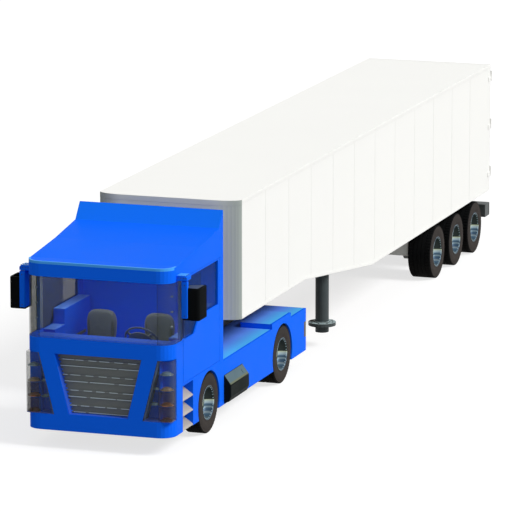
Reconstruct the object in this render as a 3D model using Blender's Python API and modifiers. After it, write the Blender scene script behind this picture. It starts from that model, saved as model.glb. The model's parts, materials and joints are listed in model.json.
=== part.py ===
"""Articulated lorry: forward-control tractor unit with a three-axle box semi-trailer.

Metres, +Z up.  The front faces -Y, +X is the vehicle's left side, and the origin lies on the
ground under the middle of the vehicle.  Stations are distances behind the cab's front face.
"""
import math

import bpy
import bmesh
from mathutils import Matrix, Vector

# ---------------------------------------------------------------- driving dimensions
GAP = 0.0003                    # between pieces that touch
DOOR_GAP = 0.006                # round a door that swings
WIDTH = 2.50
HALF = WIDTH / 2
OVERALL_LENGTH = 18.70

# running gear
TYRE_R = 0.504
ARCH_R = TYRE_R + 0.028
ARCH_STEPS = 20
FRONT_AXLE = 1.82
REAR_AXLE = 5.65
TYRE_FACE_X = HALF - 0.01       # outer face of every outer tyre
FRONT_TYRE_W = 0.30
TWIN_TYRE_W = 0.25
TWIN_GAP = 0.02
TRAILER_TYRE_W = 0.44
SHOULDER = (0.045, 0.03)       # tyre shoulder, radial and axial
RIM_R = 0.289
RIM_SEAT_R = 0.25
DISH_R = 0.205
HUB_R = 0.10
DISH_DEPTH = 0.15               # disc face, in from the tyre's outer face
HUB_PROUD = 0.03
DISC_T = 0.05
SPINDLE_R = 0.05
SPINDLE_CLEAR = 0.0009
SPINDLE_L = 0.045
WHEEL_STEPS = 24
KINGPIN_X = TYRE_FACE_X - 0.28
KINGPIN_R = 0.023
EYE_BORE_R = 0.0245
EYE_R = 0.055
EYE_H = 0.10
EAR_T = 0.04
EAR_CLEAR = 0.0003
KNUCKLE_CLEAR = 0.005
AXLE_BEAM_Z = (TYRE_R - 0.144, TYRE_R - 0.054)
AXLE_BEAM_T = 0.09
AXLE_CRANK_X = (KINGPIN_X - 0.26, KINGPIN_X - 0.10)    # where the beam rises to its eye
SPRING_X = 0.395
SPRING_W = 0.07
SPRING_HALF_L = 0.62
SPRING_T = 0.035
TUBE_R = 0.07
FINAL_DRIVE_R = TUBE_R * 2.6
FINAL_DRIVE_LENGTH = TUBE_R * 4

# cab
FLOOR_Z = 2 * TYRE_R + 0.112                 # cab floor, underside
CAB_LENGTH = 2.54
CAB_BOTTOM = 0.305
CAB_CORNER = (0.25, 0.25)
SIDE_T = 0.07                   # side panels, doors
FRONT_T = 0.12                  # front panel
REAR_WALL_T = 0.08
SILL_Z = 1.82                   # foot of the windscreen
ROOF_BASE_Z = 2.82
VISOR_TOP_Z = 3.06
LIP = (0.222, 0.005)            # stations of the roof's rear lip, ahead of the cab's rear
ROOF_RISE = ((0.29, 3.068), (1.40, 3.175), (CAB_LENGTH - LIP[0], 3.308),
             (CAB_LENGTH - LIP[1], 3.577))      # (station, z)
ROOF_T = 0.08
ROOF_HOLLOW = (0.16, HALF - 0.12)        # (front station, half width)
WRAP_END = 0.52                 # station where the front panel and windscreen end
GLASS_T = 0.02
PILLAR_W = 0.05
HINGE_R = 0.008                 # door hinge barrels
HINGE_H = 0.10
HINGE_CLEAR = 0.0003
DOOR_HINGES_Z = (1.25, 1.72)
DOOR_REAR = CAB_LENGTH - 0.18
DOOR_BOTTOM = FLOOR_Z - 0.025
WINDOW_REAR = DOOR_REAR - 0.075
WINDOW_TOP = 2.79
WINDOW_SILL = 1.806
WINDOW_STEP_Z = 2.05            # sill of the rear part of the door's window
WINDOW_STEP = (1.10, 1.38)      # stations of the sill's slanted step
WINDOW_FRAME = 0.045
FLOOR_T = 0.06
FLOOR_NOSE = 0.85               # half width of the floor between the lamps
CAB_MOUNT_STATIONS = (0.60, CAB_LENGTH - 0.34)
CAB_MOUNT_SIZE = 0.10

GRILLE_TOP = (HALF - 0.508, 1.568)       # (half width, z)
GRILLE_BOTTOM = (HALF - 0.745, 0.585)
GRILLE_T = 0.03
SLAT_ROWS = 4
SLAT_TOP_Z = 1.483
SLAT_ROW_PITCH = 0.2553
SLAT_PAIR_PITCH = 0.105
SLAT_H = 0.035
SLAT_PROUD = 0.06

LAMP_TOP = (HALF - 0.239, 1.571)         # inner edge (x, z)
LAMP_BOTTOM = (HALF - 0.495, 0.567)
LAMP_DEPTH = 0.25
LAMP_CORNER_R = 0.06

STEP_STATIONS = (0.545, 1.04)   # entry steps' recess
STEP_TOP_Z = FLOOR_Z - 0.065
STEP_DEPTH = 0.20
STEP_WALL = 0.03
BLADE_EDGES = (0.805, 0.557, 0.315)   # z of each blade's outer edge
BLADE_RISE = 0.13
BLADE_T = 0.02

DASH_REAR = 0.42
DASH_SHELF_Z = 1.62
DASH_LOW = (HALF - 0.30, 0.36, 1.43)   # (half width, rear station, z)
DASH_FOOT = (0.30, 0.25)        # (half width, rear station)
SEAT_X = 0.50
SEAT_W = 0.52
SEAT_FRONT = 1.02
SEAT_BACK = 1.47
SEAT_CUSHION_Z = 1.50
SEAT_CUSHION_T = 0.14
SEAT_BACK_T = 0.14
SEAT_TOP_Z = 2.00
SEAT_BASE_INSET = 0.10
STEERING_STATION = 0.70
STEERING_Z = 1.74
STEERING_R = 0.28
STEERING_RIM_R = 0.016
STEERING_TILT = math.radians(35)
COLUMN_R = 0.035

MIRROR_ARM_X = (HALF + 0.095, HALF + 0.18)
MIRROR_FOOT_STATIONS = (0.25, 0.45)
MIRROR_ARM_T = 0.08
MIRROR_ARM_Z = (2.235, 2.93)
MIRROR_FOOT_Z = 2.84
MIRROR_CASE_X = (HALF + 0.095, HALF + 0.37)
MIRROR_CASE_FRONT = MIRROR_FOOT_STATIONS[0] + MIRROR_ARM_T / 2
MIRROR_CASE_REAR = (0.585, 0.675)                   # stations at its inner and outer edge
MIRROR_CASE_Z = (2.20, 2.72)
MIRROR_CHAMFER = 0.05

# tractor chassis
RAIL_X = (0.36, 0.43)
RAIL_Z = (TYRE_R + 0.216, TYRE_R + 0.476)
RAIL_FRONT = 0.30
TRACTOR_END = 6.95
RAIL_SHORT = 0.06               # rails end before the deck does
CROSS_T = 0.06
DECK_Z = RAIL_Z[1] + 0.07
DECK_T = 0.04
FAIRING_T = 0.04
FENDER = (REAR_AXLE - 0.56, REAR_AXLE + 0.46)    # stations
FENDER_X = TYRE_FACE_X - 2 * TWIN_TYRE_W - TWIN_GAP - 0.04
FENDER_WALL = 0.02
FENDER_TOP = 2 * TYRE_R + 0.132
OUTRIGGERS = (REAR_AXLE - 1.50, TRACTOR_END - 0.17)
TAIL_LAMP = (TRACTOR_END - 0.11 + GAP, TRACTOR_END)      # stations
TAIL_LAMP_X = HALF - 0.25
TAIL_LAMP_Z = (0.55, 0.82)
TANK = (CAB_LENGTH + 0.03, CAB_LENGTH + 0.965)   # stations
TANK_IN_X = HALF - 0.35
TANK_OUT_X = HALF + 0.125
TANK_Z = (0.325, 0.805)
TANK_FLAT_Z = (TANK_Z[0] + 0.115, TANK_Z[1] - 0.17)
TANK_SILL_X = HALF + 0.085
TANK_SILL_RISE = 0.03
TANK_NECK_Z = (0.365, 0.765)
TANK_HANGERS = (TANK[0] + 0.23, TANK[1] - 0.225)
ENGINE = (0.45, 1.72)           # stations
ENGINE_Z = (RAIL_Z[0] - 0.16, FLOOR_Z - 0.04)
KINGPIN_STATION = REAR_AXLE - 0.40
FIFTH_R = 0.45
FIFTH_Z = (DECK_Z + 0.15, DECK_Z + 0.20)
FIFTH_BASE = (0.40, 0.30)       # half width, half length
THROAT_R = 0.032
THROAT_BOTTOM = DECK_Z + 0.08

# trailer
TRAILER_FRONT = 3.32
TRAILER_CORNER = (0.44, 0.18)   # elliptical front corners, across and along
TRAILER_TOP = 3.575
TRAILER_T = 0.08
NOSE_Z = 1.558                  # underside over the tractor
NOSE_END = 6.894
SLOPE_END = 10.835
TAIL_Z = 2 * TYRE_R + 0.057                 # underside behind the slope
FLOOR_THICK = 0.10
SIDE_REAR = OVERALL_LENGTH - 0.20
FRAME_REAR = OVERALL_LENGTH - 0.07
FRAME_W = 0.10
REAR_DOOR_FACE = OVERALL_LENGTH - HINGE_R
REAR_HINGE_X = HALF + 0.018           # hinge line, clear of the side so a door folds back flat
REAR_HINGE_LUG_X = (HALF - 0.0005, HALF + 0.012)
REAR_HINGES_Z = (1.35, 2.30, 3.25)
AXLE_PITCH = 1.29
TRAILER_AXLES = [OVERALL_LENGTH - 1.03 - AXLE_PITCH * row for row in (2, 1, 0)]
COUPLER = (KINGPIN_STATION - 0.95, KINGPIN_STATION + 1.05)         # stations
COUPLER_X = 0.50
COUPLER_CLEAR = 0.0005
PIN_R = 0.0254
PIN_BOTTOM = THROAT_BOTTOM + 0.02
LEG_X = HALF - 0.25
LEG_STATION = 8.65
LEG_R = 0.12
FOOT_R = 0.245
FOOT_Z = (0.385, 0.445)
LEG_TIE_DROP = 0.10
BOGIE = (TRAILER_AXLES[0] - 0.39, TRAILER_AXLES[-1] + 0.53)
BOGIE_X = (0.44, 0.54)
AXLE_SEAT_X = (0.45, 0.53)
BOGIE_BOTTOM = TYRE_R + 0.116
BULKHEAD_X = TYRE_FACE_X - TRAILER_TYRE_W - 0.02
BULKHEAD_Z = 0.47
BULKHEAD_T = 0.05
AXLE_R = 0.075
BUMPER = (OVERALL_LENGTH - 0.31, OVERALL_LENGTH - 0.005)       # stations
BUMPER_Z = (TAIL_Z - 0.492, TAIL_Z - 0.242)
BUMPER_ARM_X = (0.60, 0.70)

FRONT_Y = -OVERALL_LENGTH / 2
HINGE_STATION = WRAP_END + PILLAR_W + HINGE_R / 2
DOOR_FRONT = HINGE_STATION + HINGE_R + HINGE_CLEAR
FAIRING_IN = HALF - FAIRING_T


def at(station):
    """World Y of a station behind the cab's front face."""
    return FRONT_Y + station


# ---------------------------------------------------------------- scene helpers
for old in list(bpy.data.objects):
    bpy.data.objects.remove(old)

PARTS = bpy.data.collections.new("articulated_lorry")
CUTTERS = bpy.data.collections.new("cutters")
bpy.context.scene.collection.children.link(PARTS)
bpy.context.scene.collection.children.link(CUTTERS)


def material(name, colour, roughness, metallic=0.0, alpha=1.0):
    made = bpy.data.materials.new(name)
    made.use_nodes = True
    shader = made.node_tree.nodes["Principled BSDF"]
    shader.inputs["Base Color"].default_value = (*colour, 1.0)
    shader.inputs["Roughness"].default_value = roughness
    shader.inputs["Metallic"].default_value = metallic
    shader.inputs["Alpha"].default_value = alpha
    return made


PAINT = (0.012, 0.145, 1.0)
LOOKS = {name: (colour, rough, metal, alpha) for name, colour, rough, metal, alpha in (
    # name, linear colour, roughness, metallic, alpha
    ("cab_paint", PAINT, 0.35, 0.0, 1.0),
    ("cabin_trim", (0.03, 0.08, 0.35), 0.7, 0.0, 1.0),
    ("glass", (0.10, 0.16, 0.40), 0.05, 0.0, 0.4),
    ("grille", (0.08, 0.09, 0.09), 0.5, 0.0, 1.0),
    ("lens", (0.25, 0.22, 0.30), 0.1, 0.0, 0.6),
    ("steps", (0.50, 0.48, 0.45), 0.5, 0.0, 1.0),
    ("seat", (0.055, 0.065, 0.068), 0.85, 0.0, 1.0),
    ("black", (0.006, 0.007, 0.007), 0.5, 0.0, 1.0),
    ("tyre", (0.045, 0.042, 0.040), 0.8, 0.0, 1.0),
    ("chassis", (0.02, 0.025, 0.028), 0.5, 0.3, 1.0),
    ("iron", (0.05, 0.055, 0.06), 0.5, 0.6, 1.0),
    ("tank", (0.02, 0.026, 0.026), 0.35, 0.5, 1.0),
    ("trailer_paint", (0.93, 0.93, 0.92), 0.4, 0.0, 1.0),
    ("trailer_grey", (0.33, 0.35, 0.35), 0.5, 0.0, 1.0),
)}
MATERIALS = {name: material(name, *look) for name, look in LOOKS.items()}


def put(mesh, name, look, collection=None):
    made = bpy.data.objects.new(name, mesh)
    (collection or PARTS).objects.link(made)
    if look:
        mesh.materials.clear()
        mesh.materials.append(MATERIALS[look])
    return made


def as_cutter(made):
    for home in list(made.users_collection):
        home.objects.unlink(made)
    CUTTERS.objects.link(made)
    made.hide_render = True
    made.display_type = "WIRE"
    return made


def box(name, x, y, z, look=None):
    """A box from its (low, high) on each axis; y is in world metres."""
    mesh = bpy.data.meshes.new(name)
    shape = bmesh.new()
    size = Vector((x[1] - x[0], y[1] - y[0], z[1] - z[0]))
    middle = Vector((x[0] + x[1], y[0] + y[1], z[0] + z[1])) / 2
    bmesh.ops.create_cube(shape, size=1.0, matrix=Matrix.Diagonal(size).to_4x4())
    shape.to_mesh(mesh)
    shape.free()
    made = put(mesh, name, look)
    made.location = middle
    return made


def cylinder(name, centre, axis, radius, length, look=None, sides=24):
    mesh = bpy.data.meshes.new(name)
    shape = bmesh.new()
    turn = Vector((0, 0, 1)).rotation_difference(Vector(axis)).to_matrix().to_4x4()
    bmesh.ops.create_cone(shape, cap_ends=True, segments=sides, radius1=radius, radius2=radius,
                          depth=length, matrix=turn)
    shape.to_mesh(mesh)
    shape.free()
    made = put(mesh, name, look)
    made.location = centre
    return made


# each plane's frame: the outline's first and second coordinates, and the way it is extruded
PLANES = {
    "plan": Matrix(((1, 0, 0), (0, 1, 0), (0, 0, 1))),         # (x, y) along z
    "front": Matrix(((1, 0, 0), (0, 0, -1), (0, 1, 0))),       # (x, z) along -y
    "side": Matrix(((0, 0, 1), (1, 0, 0), (0, 1, 0))),         # (y, z) along x
}


def prism(name, outline, plane, low, high, look=None, holes=()):
    """A flat outline drawn as a filled 2D curve and given its thickness."""
    curve = bpy.data.curves.new(name, "CURVE")
    curve.dimensions = "2D"
    curve.fill_mode = "BOTH"
    curve.extrude = (high - low) / 2
    for ring in (outline, *holes):
        spline = curve.splines.new("POLY")
        spline.points.add(len(ring) - 1)
        for point, (first, second) in zip(spline.points, ring):
            point.co = (first, second, 0, 1)
        spline.use_cyclic_u = True
    drawn = bpy.data.objects.new(name + "_outline", curve)
    bpy.context.scene.collection.objects.link(drawn)
    bpy.context.view_layer.update()
    graph = bpy.context.evaluated_depsgraph_get()
    mesh = bpy.data.meshes.new_from_object(drawn.evaluated_get(graph))
    bpy.data.objects.remove(drawn)
    shape = bmesh.new()
    shape.from_mesh(mesh)
    bmesh.ops.remove_doubles(shape, verts=shape.verts, dist=0.00001)
    frame = PLANES[plane]
    shape.transform(frame.to_4x4())
    shape.transform(Matrix.Translation(frame.col[2] * (low + high) / 2))
    bmesh.ops.recalc_face_normals(shape, faces=shape.faces)
    shape.to_mesh(mesh)
    shape.free()
    mesh.name = name
    return put(mesh, name, look)


def turned(name, profile, look, steps, outward):
    """A closed profile of (radius, distance along +X) turned round the X axis."""
    mesh = bpy.data.meshes.new(name)
    shape = bmesh.new()
    corners = [shape.verts.new((radius, 0, along)) for radius, along in profile]
    for first, second in zip(corners, corners[1:]):
        shape.edges.new((first, second))
    shape.to_mesh(mesh)
    shape.free()
    made = put(mesh, name, look)
    screw = made.modifiers.new("turn", "SCREW")
    screw.axis = "Z"
    screw.steps = steps
    screw.render_steps = steps
    screw.use_merge_vertices = True
    screw.merge_threshold = 0.0001
    screw.use_normal_calculate = True
    made.rotation_euler = (0, math.radians(90 * outward), 0)
    return made


def combine(target, other, operation):
    step = target.modifiers.new(operation.lower(), "BOOLEAN")
    step.operation = operation
    step.object = as_cutter(other)
    return target


def join(target, *others):
    for other in others:
        combine(target, other, "UNION")
    return target


def cut(target, *others):
    for other in others:
        combine(target, other, "DIFFERENCE")
    return target


def flip(points):
    return [(-first, second) for first, second in reversed(points)]


def arc(centre, radii, start, end, steps):
    """Points along an elliptical arc, angles in degrees."""
    turn = [math.radians(start + (end - start) * step / steps) for step in range(steps + 1)]
    return [(centre[0] + radii[0] * math.cos(a), centre[1] + radii[1] * math.sin(a))
            for a in turn]


def inset(outline, distance):
    """The outline moved inwards by a distance; the outline runs anticlockwise."""
    moved = []
    for index, here in enumerate(outline):
        before = Vector(outline[index - 1])
        after = Vector(outline[(index + 1) % len(outline)])
        here = Vector(here)
        into = (here - before).normalized()
        out = (after - here).normalized()
        left_in = Vector((-into.y, into.x))
        left_out = Vector((-out.y, out.x))
        middle = (left_in + left_out).normalized()
        moved.append(tuple(here + middle * distance / middle.dot(left_in)))
    return moved


def front_corners(half, radii, front, steps=6):
    """Plan of both rounded front corners, from the right side round to the left."""
    across_r, along_r = radii
    return (arc((-half + across_r, front + along_r), radii, 180, 270, steps)
            + arc((half - across_r, front + along_r), radii, 270, 360, steps))


def u_outline(half, radii, thickness, front, rear, steps=6):
    """Plan of a panel that wraps both front corners, anticlockwise."""
    inner = [radius - thickness for radius in radii]
    return ([(-half, rear)] + front_corners(half, radii, front, steps) + [(half, rear),
            (half - thickness, rear)]
            + front_corners(half - thickness, inner, front + thickness, steps)[::-1]
            + [(-half + thickness, rear)])


def rounded_front(half, radii, front, rear, steps=6):
    """Plan of a box with rounded front corners, anticlockwise."""
    return front_corners(half, radii, front, steps) + [(half, rear), (-half, rear)]


def both_sides():
    return (("left", 1), ("right", -1))


def side_span(sign, low, high):
    return (low, high) if sign > 0 else (-high, -low)


# ---------------------------------------------------------------- cab
def grille_outline():
    return [(-GRILLE_BOTTOM[0], GRILLE_BOTTOM[1]), (GRILLE_BOTTOM[0], GRILLE_BOTTOM[1]),
            (GRILLE_TOP[0], GRILLE_TOP[1]), (-GRILLE_TOP[0], GRILLE_TOP[1])]


def lamp_outline(outer_x):
    return [(LAMP_BOTTOM[0], LAMP_BOTTOM[1]), (outer_x, LAMP_BOTTOM[1]),
            (outer_x, LAMP_TOP[1]), (LAMP_TOP[0], LAMP_TOP[1])]


def build_front():
    panel = prism("cab_front_panel",
                  u_outline(HALF, CAB_CORNER, FRONT_T, at(0), at(WRAP_END)),
                  "plan", CAB_BOTTOM, SILL_Z, "cab_paint")
    reach = 0.1
    cut(panel, prism("grille_opening", grille_outline(), "front",
                     -at(FRONT_T) - reach, -at(0) + reach))
    for side, sign in both_sides():
        pocket = lamp_outline(HALF + reach)
        cut(panel, prism("lamp_pocket_" + side, pocket if sign > 0 else flip(pocket), "front",
                         -at(LAMP_DEPTH), -at(0) + reach))
    build_lamps()
    build_grille()
    wrap = u_outline(HALF, CAB_CORNER, GLASS_T, at(0), at(WRAP_END))
    prism("windscreen", wrap, "plan", SILL_Z + GAP, ROOF_BASE_Z - GAP, "glass")


def build_lamps():
    for side, sign in both_sides():
        outline = inset(lamp_outline(HALF + GAP), GAP)
        lamp = prism("lamp_" + side, outline if sign > 0 else flip(outline), "front",
                     -at(LAMP_DEPTH - GAP), -at(0), "lens")
        inner = LAMP_BOTTOM[0] - LAMP_CORNER_R
        plan = [(inner, at(LAMP_DEPTH + LAMP_CORNER_R)), (inner, at(0))]
        plan += arc((HALF - LAMP_CORNER_R, at(LAMP_CORNER_R)), (LAMP_CORNER_R, LAMP_CORNER_R),
                    270, 360, 4)
        plan += [(HALF, at(LAMP_DEPTH + LAMP_CORNER_R))]
        combine(lamp, prism("lamp_plan_" + side, plan if sign > 0 else flip(plan), "plan",
                            LAMP_BOTTOM[1] - LAMP_CORNER_R, LAMP_TOP[1] + LAMP_CORNER_R),
                "INTERSECT")


def build_grille():
    back = inset(grille_outline(), -GRILLE_T)
    grille = prism("grille", back, "front", -at(FRONT_T + GAP + GRILLE_T), -at(FRONT_T + GAP),
                   "grille")
    lean = (GRILLE_TOP[0] - GRILLE_BOTTOM[0]) / (GRILLE_TOP[1] - GRILLE_BOTTOM[1])
    for index in range(2 * SLAT_ROWS):
        row, lower = divmod(index, 2)
        middle = SLAT_TOP_Z - SLAT_ROW_PITCH * row - SLAT_PAIR_PITCH * lower
        low = middle - SLAT_H / 2
        reach = GRILLE_BOTTOM[0] + lean * (low - GRILLE_BOTTOM[1]) - SLAT_H / 2
        join(grille, box("slat_%d" % index, (-reach, reach),
                         (at(FRONT_T - SLAT_PROUD), at(FRONT_T + GRILLE_T / 2)),
                         (low, low + SLAT_H)))


def window_outline():
    """Opening of the left door, in (y, z), anticlockwise seen from +X."""
    front = DOOR_FRONT + WINDOW_FRAME
    return [(at(front), WINDOW_SILL), (at(WINDOW_STEP[0]), WINDOW_SILL),
            (at(WINDOW_STEP[1]), WINDOW_STEP_Z), (at(WINDOW_REAR), WINDOW_STEP_Z),
            (at(WINDOW_REAR), WINDOW_TOP), (at(front), WINDOW_TOP)]


def build_side(side, sign):
    front = at(WRAP_END + GAP)
    pillar = at(WRAP_END + PILLAR_W)
    rear = at(CAB_LENGTH)
    door_rear = at(DOOR_REAR + DOOR_GAP)
    door_bottom = DOOR_BOTTOM - DOOR_GAP
    top = ROOF_BASE_Z - GAP
    foot = math.degrees(math.asin((TYRE_R - CAB_BOTTOM) / ARCH_R))
    arch = arc((at(FRONT_AXLE), TYRE_R), (ARCH_R, ARCH_R), 180 + foot, -foot, ARCH_STEPS)
    skirt = ([(front, CAB_BOTTOM)] + arch
             + [(rear, CAB_BOTTOM), (rear, top), (door_rear, top), (door_rear, door_bottom),
                (pillar, door_bottom), (pillar, top), (front, top)])
    low, high = side_span(sign, HALF - SIDE_T, HALF)
    panel = prism("cab_side_" + side, skirt, "side", low, high, "cab_paint")
    deep = HALF - STEP_DEPTH - STEP_WALL
    join(panel, box("step_case_" + side, side_span(sign, deep, HALF - STEP_WALL),
                    (front, at(STEP_STATIONS[1] + STEP_WALL)),
                    (CAB_BOTTOM, STEP_TOP_Z + STEP_WALL)))
    cut(panel, box("step_recess_" + side, side_span(sign, HALF - STEP_DEPTH, HALF + STEP_WALL),
                   (at(STEP_STATIONS[0]), at(STEP_STATIONS[1])),
                   (CAB_BOTTOM - STEP_WALL, STEP_TOP_Z)))
    for index, low_z in enumerate(DOOR_HINGES_Z):
        join(panel, cylinder("cab_hinge_%s_%d" % (side, index),
                             (sign * HALF, at(HINGE_STATION), low_z + HINGE_H / 2), (0, 0, 1),
                             HINGE_R, HINGE_H, sides=16))
    build_steps(side, sign)
    build_door(side, sign)
    build_mirror(side, sign)


def build_steps(side, sign):
    """Three sloping treads on one back plate."""
    inner = HALF - STEP_DEPTH + GAP
    stations = (at(STEP_STATIONS[0] + GAP), at(STEP_STATIONS[1] - GAP))
    steps = box("entry_steps_" + side, side_span(sign, inner, inner + BLADE_T), stations,
                (CAB_BOTTOM + GAP, STEP_TOP_Z - GAP), "steps")
    for index, edge in enumerate(BLADE_EDGES):
        section = [(HALF - GAP, edge), (HALF - GAP, edge + BLADE_T),
                   (inner + BLADE_T / 2, edge + BLADE_RISE + BLADE_T),
                   (inner + BLADE_T / 2, edge + BLADE_RISE)]
        join(steps, prism("tread_%s_%d" % (side, index), section if sign > 0 else flip(section),
                          "front", -stations[1], -stations[0]))
    return steps


def build_door(side, sign):
    front = at(DOOR_FRONT)
    outline = [(front, DOOR_BOTTOM), (at(DOOR_REAR), DOOR_BOTTOM),
               (at(DOOR_REAR), ROOF_BASE_Z - DOOR_GAP), (front, ROOF_BASE_Z - DOOR_GAP)]
    low, high = side_span(sign, HALF - SIDE_T, HALF)
    prism("cab_door_" + side, outline, "side", low, high, "cab_paint",
          holes=[window_outline()])
    low, high = side_span(sign, HALF - SIDE_T / 2 - GLASS_T / 2, HALF - SIDE_T / 2 + GLASS_T / 2)
    prism("door_glass_" + side, inset(window_outline(), GAP), "side", low, high, "glass")


def build_mirror(side, sign):
    """Hooked arm from the roof's side, with the mirror's case behind it."""
    foot_y = (at(MIRROR_FOOT_STATIONS[0]), at(MIRROR_FOOT_STATIONS[1]))
    mirror = box("mirror_" + side, side_span(sign, *MIRROR_ARM_X),
                 (foot_y[0], foot_y[0] + MIRROR_ARM_T), MIRROR_ARM_Z, "black")
    join(mirror, box("mirror_foot_" + side, side_span(sign, HALF + GAP, MIRROR_ARM_X[1]),
                     foot_y, (MIRROR_FOOT_Z, MIRROR_ARM_Z[1])))
    inner, outer = MIRROR_CASE_X
    front = MIRROR_CASE_FRONT
    plan = [(inner, at(front)), (outer - MIRROR_CHAMFER, at(front)),
            (outer, at(front + MIRROR_CHAMFER)), (outer, at(MIRROR_CASE_REAR[1])),
            (inner, at(MIRROR_CASE_REAR[0]))]
    join(mirror, prism("mirror_case_" + side, plan if sign > 0 else flip(plan), "plan",
                       *MIRROR_CASE_Z))


def build_roof():
    outline = [(at(0), ROOF_BASE_Z), (at(CAB_LENGTH), ROOF_BASE_Z),
               (at(CAB_LENGTH), ROOF_RISE[-1][1])]
    outline += [(at(station), z) for station, z in reversed(ROOF_RISE)]
    outline += [(at(0), VISOR_TOP_Z)]
    roof = prism("cab_roof", outline, "side", -HALF, HALF, "cab_paint")
    combine(roof, prism("roof_plan", rounded_front(HALF, CAB_CORNER, at(0), at(CAB_LENGTH)),
                        "plan", ROOF_BASE_Z - ROOF_T, ROOF_RISE[-1][1] + ROOF_T), "INTERSECT")
    front, half = ROOF_HOLLOW
    rear = at(CAB_LENGTH - REAR_WALL_T)
    hollow = [(at(front), ROOF_BASE_Z - ROOF_T), (rear, ROOF_BASE_Z - ROOF_T),
              (rear, ROOF_RISE[-1][1] - 2 * ROOF_T)]
    hollow += [(at(station), z - ROOF_T) for station, z in reversed(ROOF_RISE[:-1])]
    hollow += [(at(front), VISOR_TOP_Z - ROOF_T)]
    return cut(roof, prism("roof_hollow", hollow, "side", -half, half))


def build_cab():
    build_front()
    for side, sign in both_sides():
        build_side(side, sign)
    build_roof()
    inner = HALF - SIDE_T - GAP
    wall = at(CAB_LENGTH - REAR_WALL_T)
    box("cab_rear_wall", (-inner, inner), (wall, at(CAB_LENGTH)),
        (FLOOR_Z, ROOF_BASE_Z - GAP), "cab_paint")
    build_floor(inner, wall)
    build_cabin()


def build_floor(inner, wall):
    floor_z = (FLOOR_Z, FLOOR_Z + FLOOR_T)
    floor = box("cab_floor", (-inner, inner), (at(WRAP_END + GAP), wall - GAP), floor_z,
                "cabin_trim")
    narrow = HALF - FRONT_T - GAP
    join(floor, box("floor_front", (-narrow, narrow),
                    (at(LAMP_DEPTH + GAP), at(WRAP_END + PILLAR_W)), floor_z),
         box("floor_nose", (-FLOOR_NOSE, FLOOR_NOSE),
             (at(FRONT_T + GRILLE_T + 2 * GAP), at(WRAP_END)), floor_z))
    for row, station in enumerate(CAB_MOUNT_STATIONS):
        for side, sign in both_sides():
            join(floor, box("cab_mount_%s_%d" % (side, row), side_span(sign, *RAIL_X),
                            (at(station), at(station + CAB_MOUNT_SIZE)),
                            (RAIL_Z[1] + GAP, FLOOR_Z + FLOOR_T / 2)))


def build_cabin():
    """Dashboard, steering wheel on its column, and the two seats."""
    floor_top = FLOOR_Z + FLOOR_T + GAP
    corner = [radius - FRONT_T - GAP for radius in CAB_CORNER]
    dash = prism("dashboard", rounded_front(HALF - FRONT_T - GAP, corner, at(FRONT_T + GAP),
                                            at(DASH_REAR)),
                 "plan", DASH_SHELF_Z, SILL_Z - GAP, "cabin_trim")
    behind_grille = at(FRONT_T + GRILLE_T + 2 * GAP)
    half, rear, low = DASH_LOW
    join(dash, box("dash_low", (-half, half), (behind_grille, at(rear)),
                   (low, DASH_SHELF_Z + FRONT_T / 2)),
         box("dash_foot", (-DASH_FOOT[0], DASH_FOOT[0]), (behind_grille, at(DASH_FOOT[1])),
             (floor_top, low + FRONT_T / 2)))
    axis = Vector((0, math.cos(STEERING_TILT), math.sin(STEERING_TILT)))
    centre = Vector((SEAT_X, at(STEERING_STATION), STEERING_Z))
    turn = Vector((0, 0, 1)).rotation_difference(axis)
    mesh = bpy.data.meshes.new("steering_wheel")
    shape = bmesh.new()
    rim = bmesh.ops.create_circle(shape, radius=STEERING_RIM_R, segments=8,
                                  matrix=Matrix.Translation((STEERING_R, 0, 0))
                                  @ Matrix.Rotation(math.radians(90), 4, "X"))
    bmesh.ops.spin(shape, geom=rim["verts"] + list(shape.edges), cent=(0, 0, 0),
                   axis=(0, 0, 1), angle=math.tau, steps=28, use_merge=True)
    bmesh.ops.recalc_face_normals(shape, faces=shape.faces)
    shape.to_mesh(mesh)
    shape.free()
    wheel = put(mesh, "steering_wheel", "black")
    wheel.rotation_mode = "QUATERNION"
    wheel.rotation_quaternion = turn
    wheel.location = centre
    run = (centre.y - at(rear) - GAP - COLUMN_R * axis.z) / axis.y
    column_end = centre - axis * run
    middle = (centre + column_end) / 2
    column = cylinder("steering_column", middle, axis, COLUMN_R,
                      (centre - column_end).length, sides=16)
    spoke = box("steering_spoke", (centre.x - STEERING_R, centre.x + STEERING_R),
                (centre.y - STEERING_RIM_R, centre.y + STEERING_RIM_R),
                (centre.z - STEERING_RIM_R / 2, centre.z + STEERING_RIM_R / 2))
    spoke.rotation_mode = "QUATERNION"
    spoke.rotation_quaternion = turn
    join(wheel, column, spoke)
    for name, sign in (("driver", 1), ("passenger", -1)):
        middle_x = sign * SEAT_X
        span = (middle_x - SEAT_W / 2, middle_x + SEAT_W / 2)
        cushion_z = (SEAT_CUSHION_Z - SEAT_CUSHION_T, SEAT_CUSHION_Z)
        seat = box(name + "_seat", span, (at(SEAT_FRONT), at(SEAT_BACK + SEAT_BACK_T)),
                   cushion_z, "seat")
        join(seat, box(name + "_back", span, (at(SEAT_BACK), at(SEAT_BACK + SEAT_BACK_T)),
                       (SEAT_CUSHION_Z - SEAT_CUSHION_T / 2, SEAT_TOP_Z)))
        join(seat, box(name + "_base", (span[0] + SEAT_BASE_INSET, span[1] - SEAT_BASE_INSET),
                       (at(SEAT_FRONT + SEAT_BASE_INSET), at(SEAT_BACK)),
                       (floor_top, SEAT_CUSHION_Z - SEAT_CUSHION_T / 2)))


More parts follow.
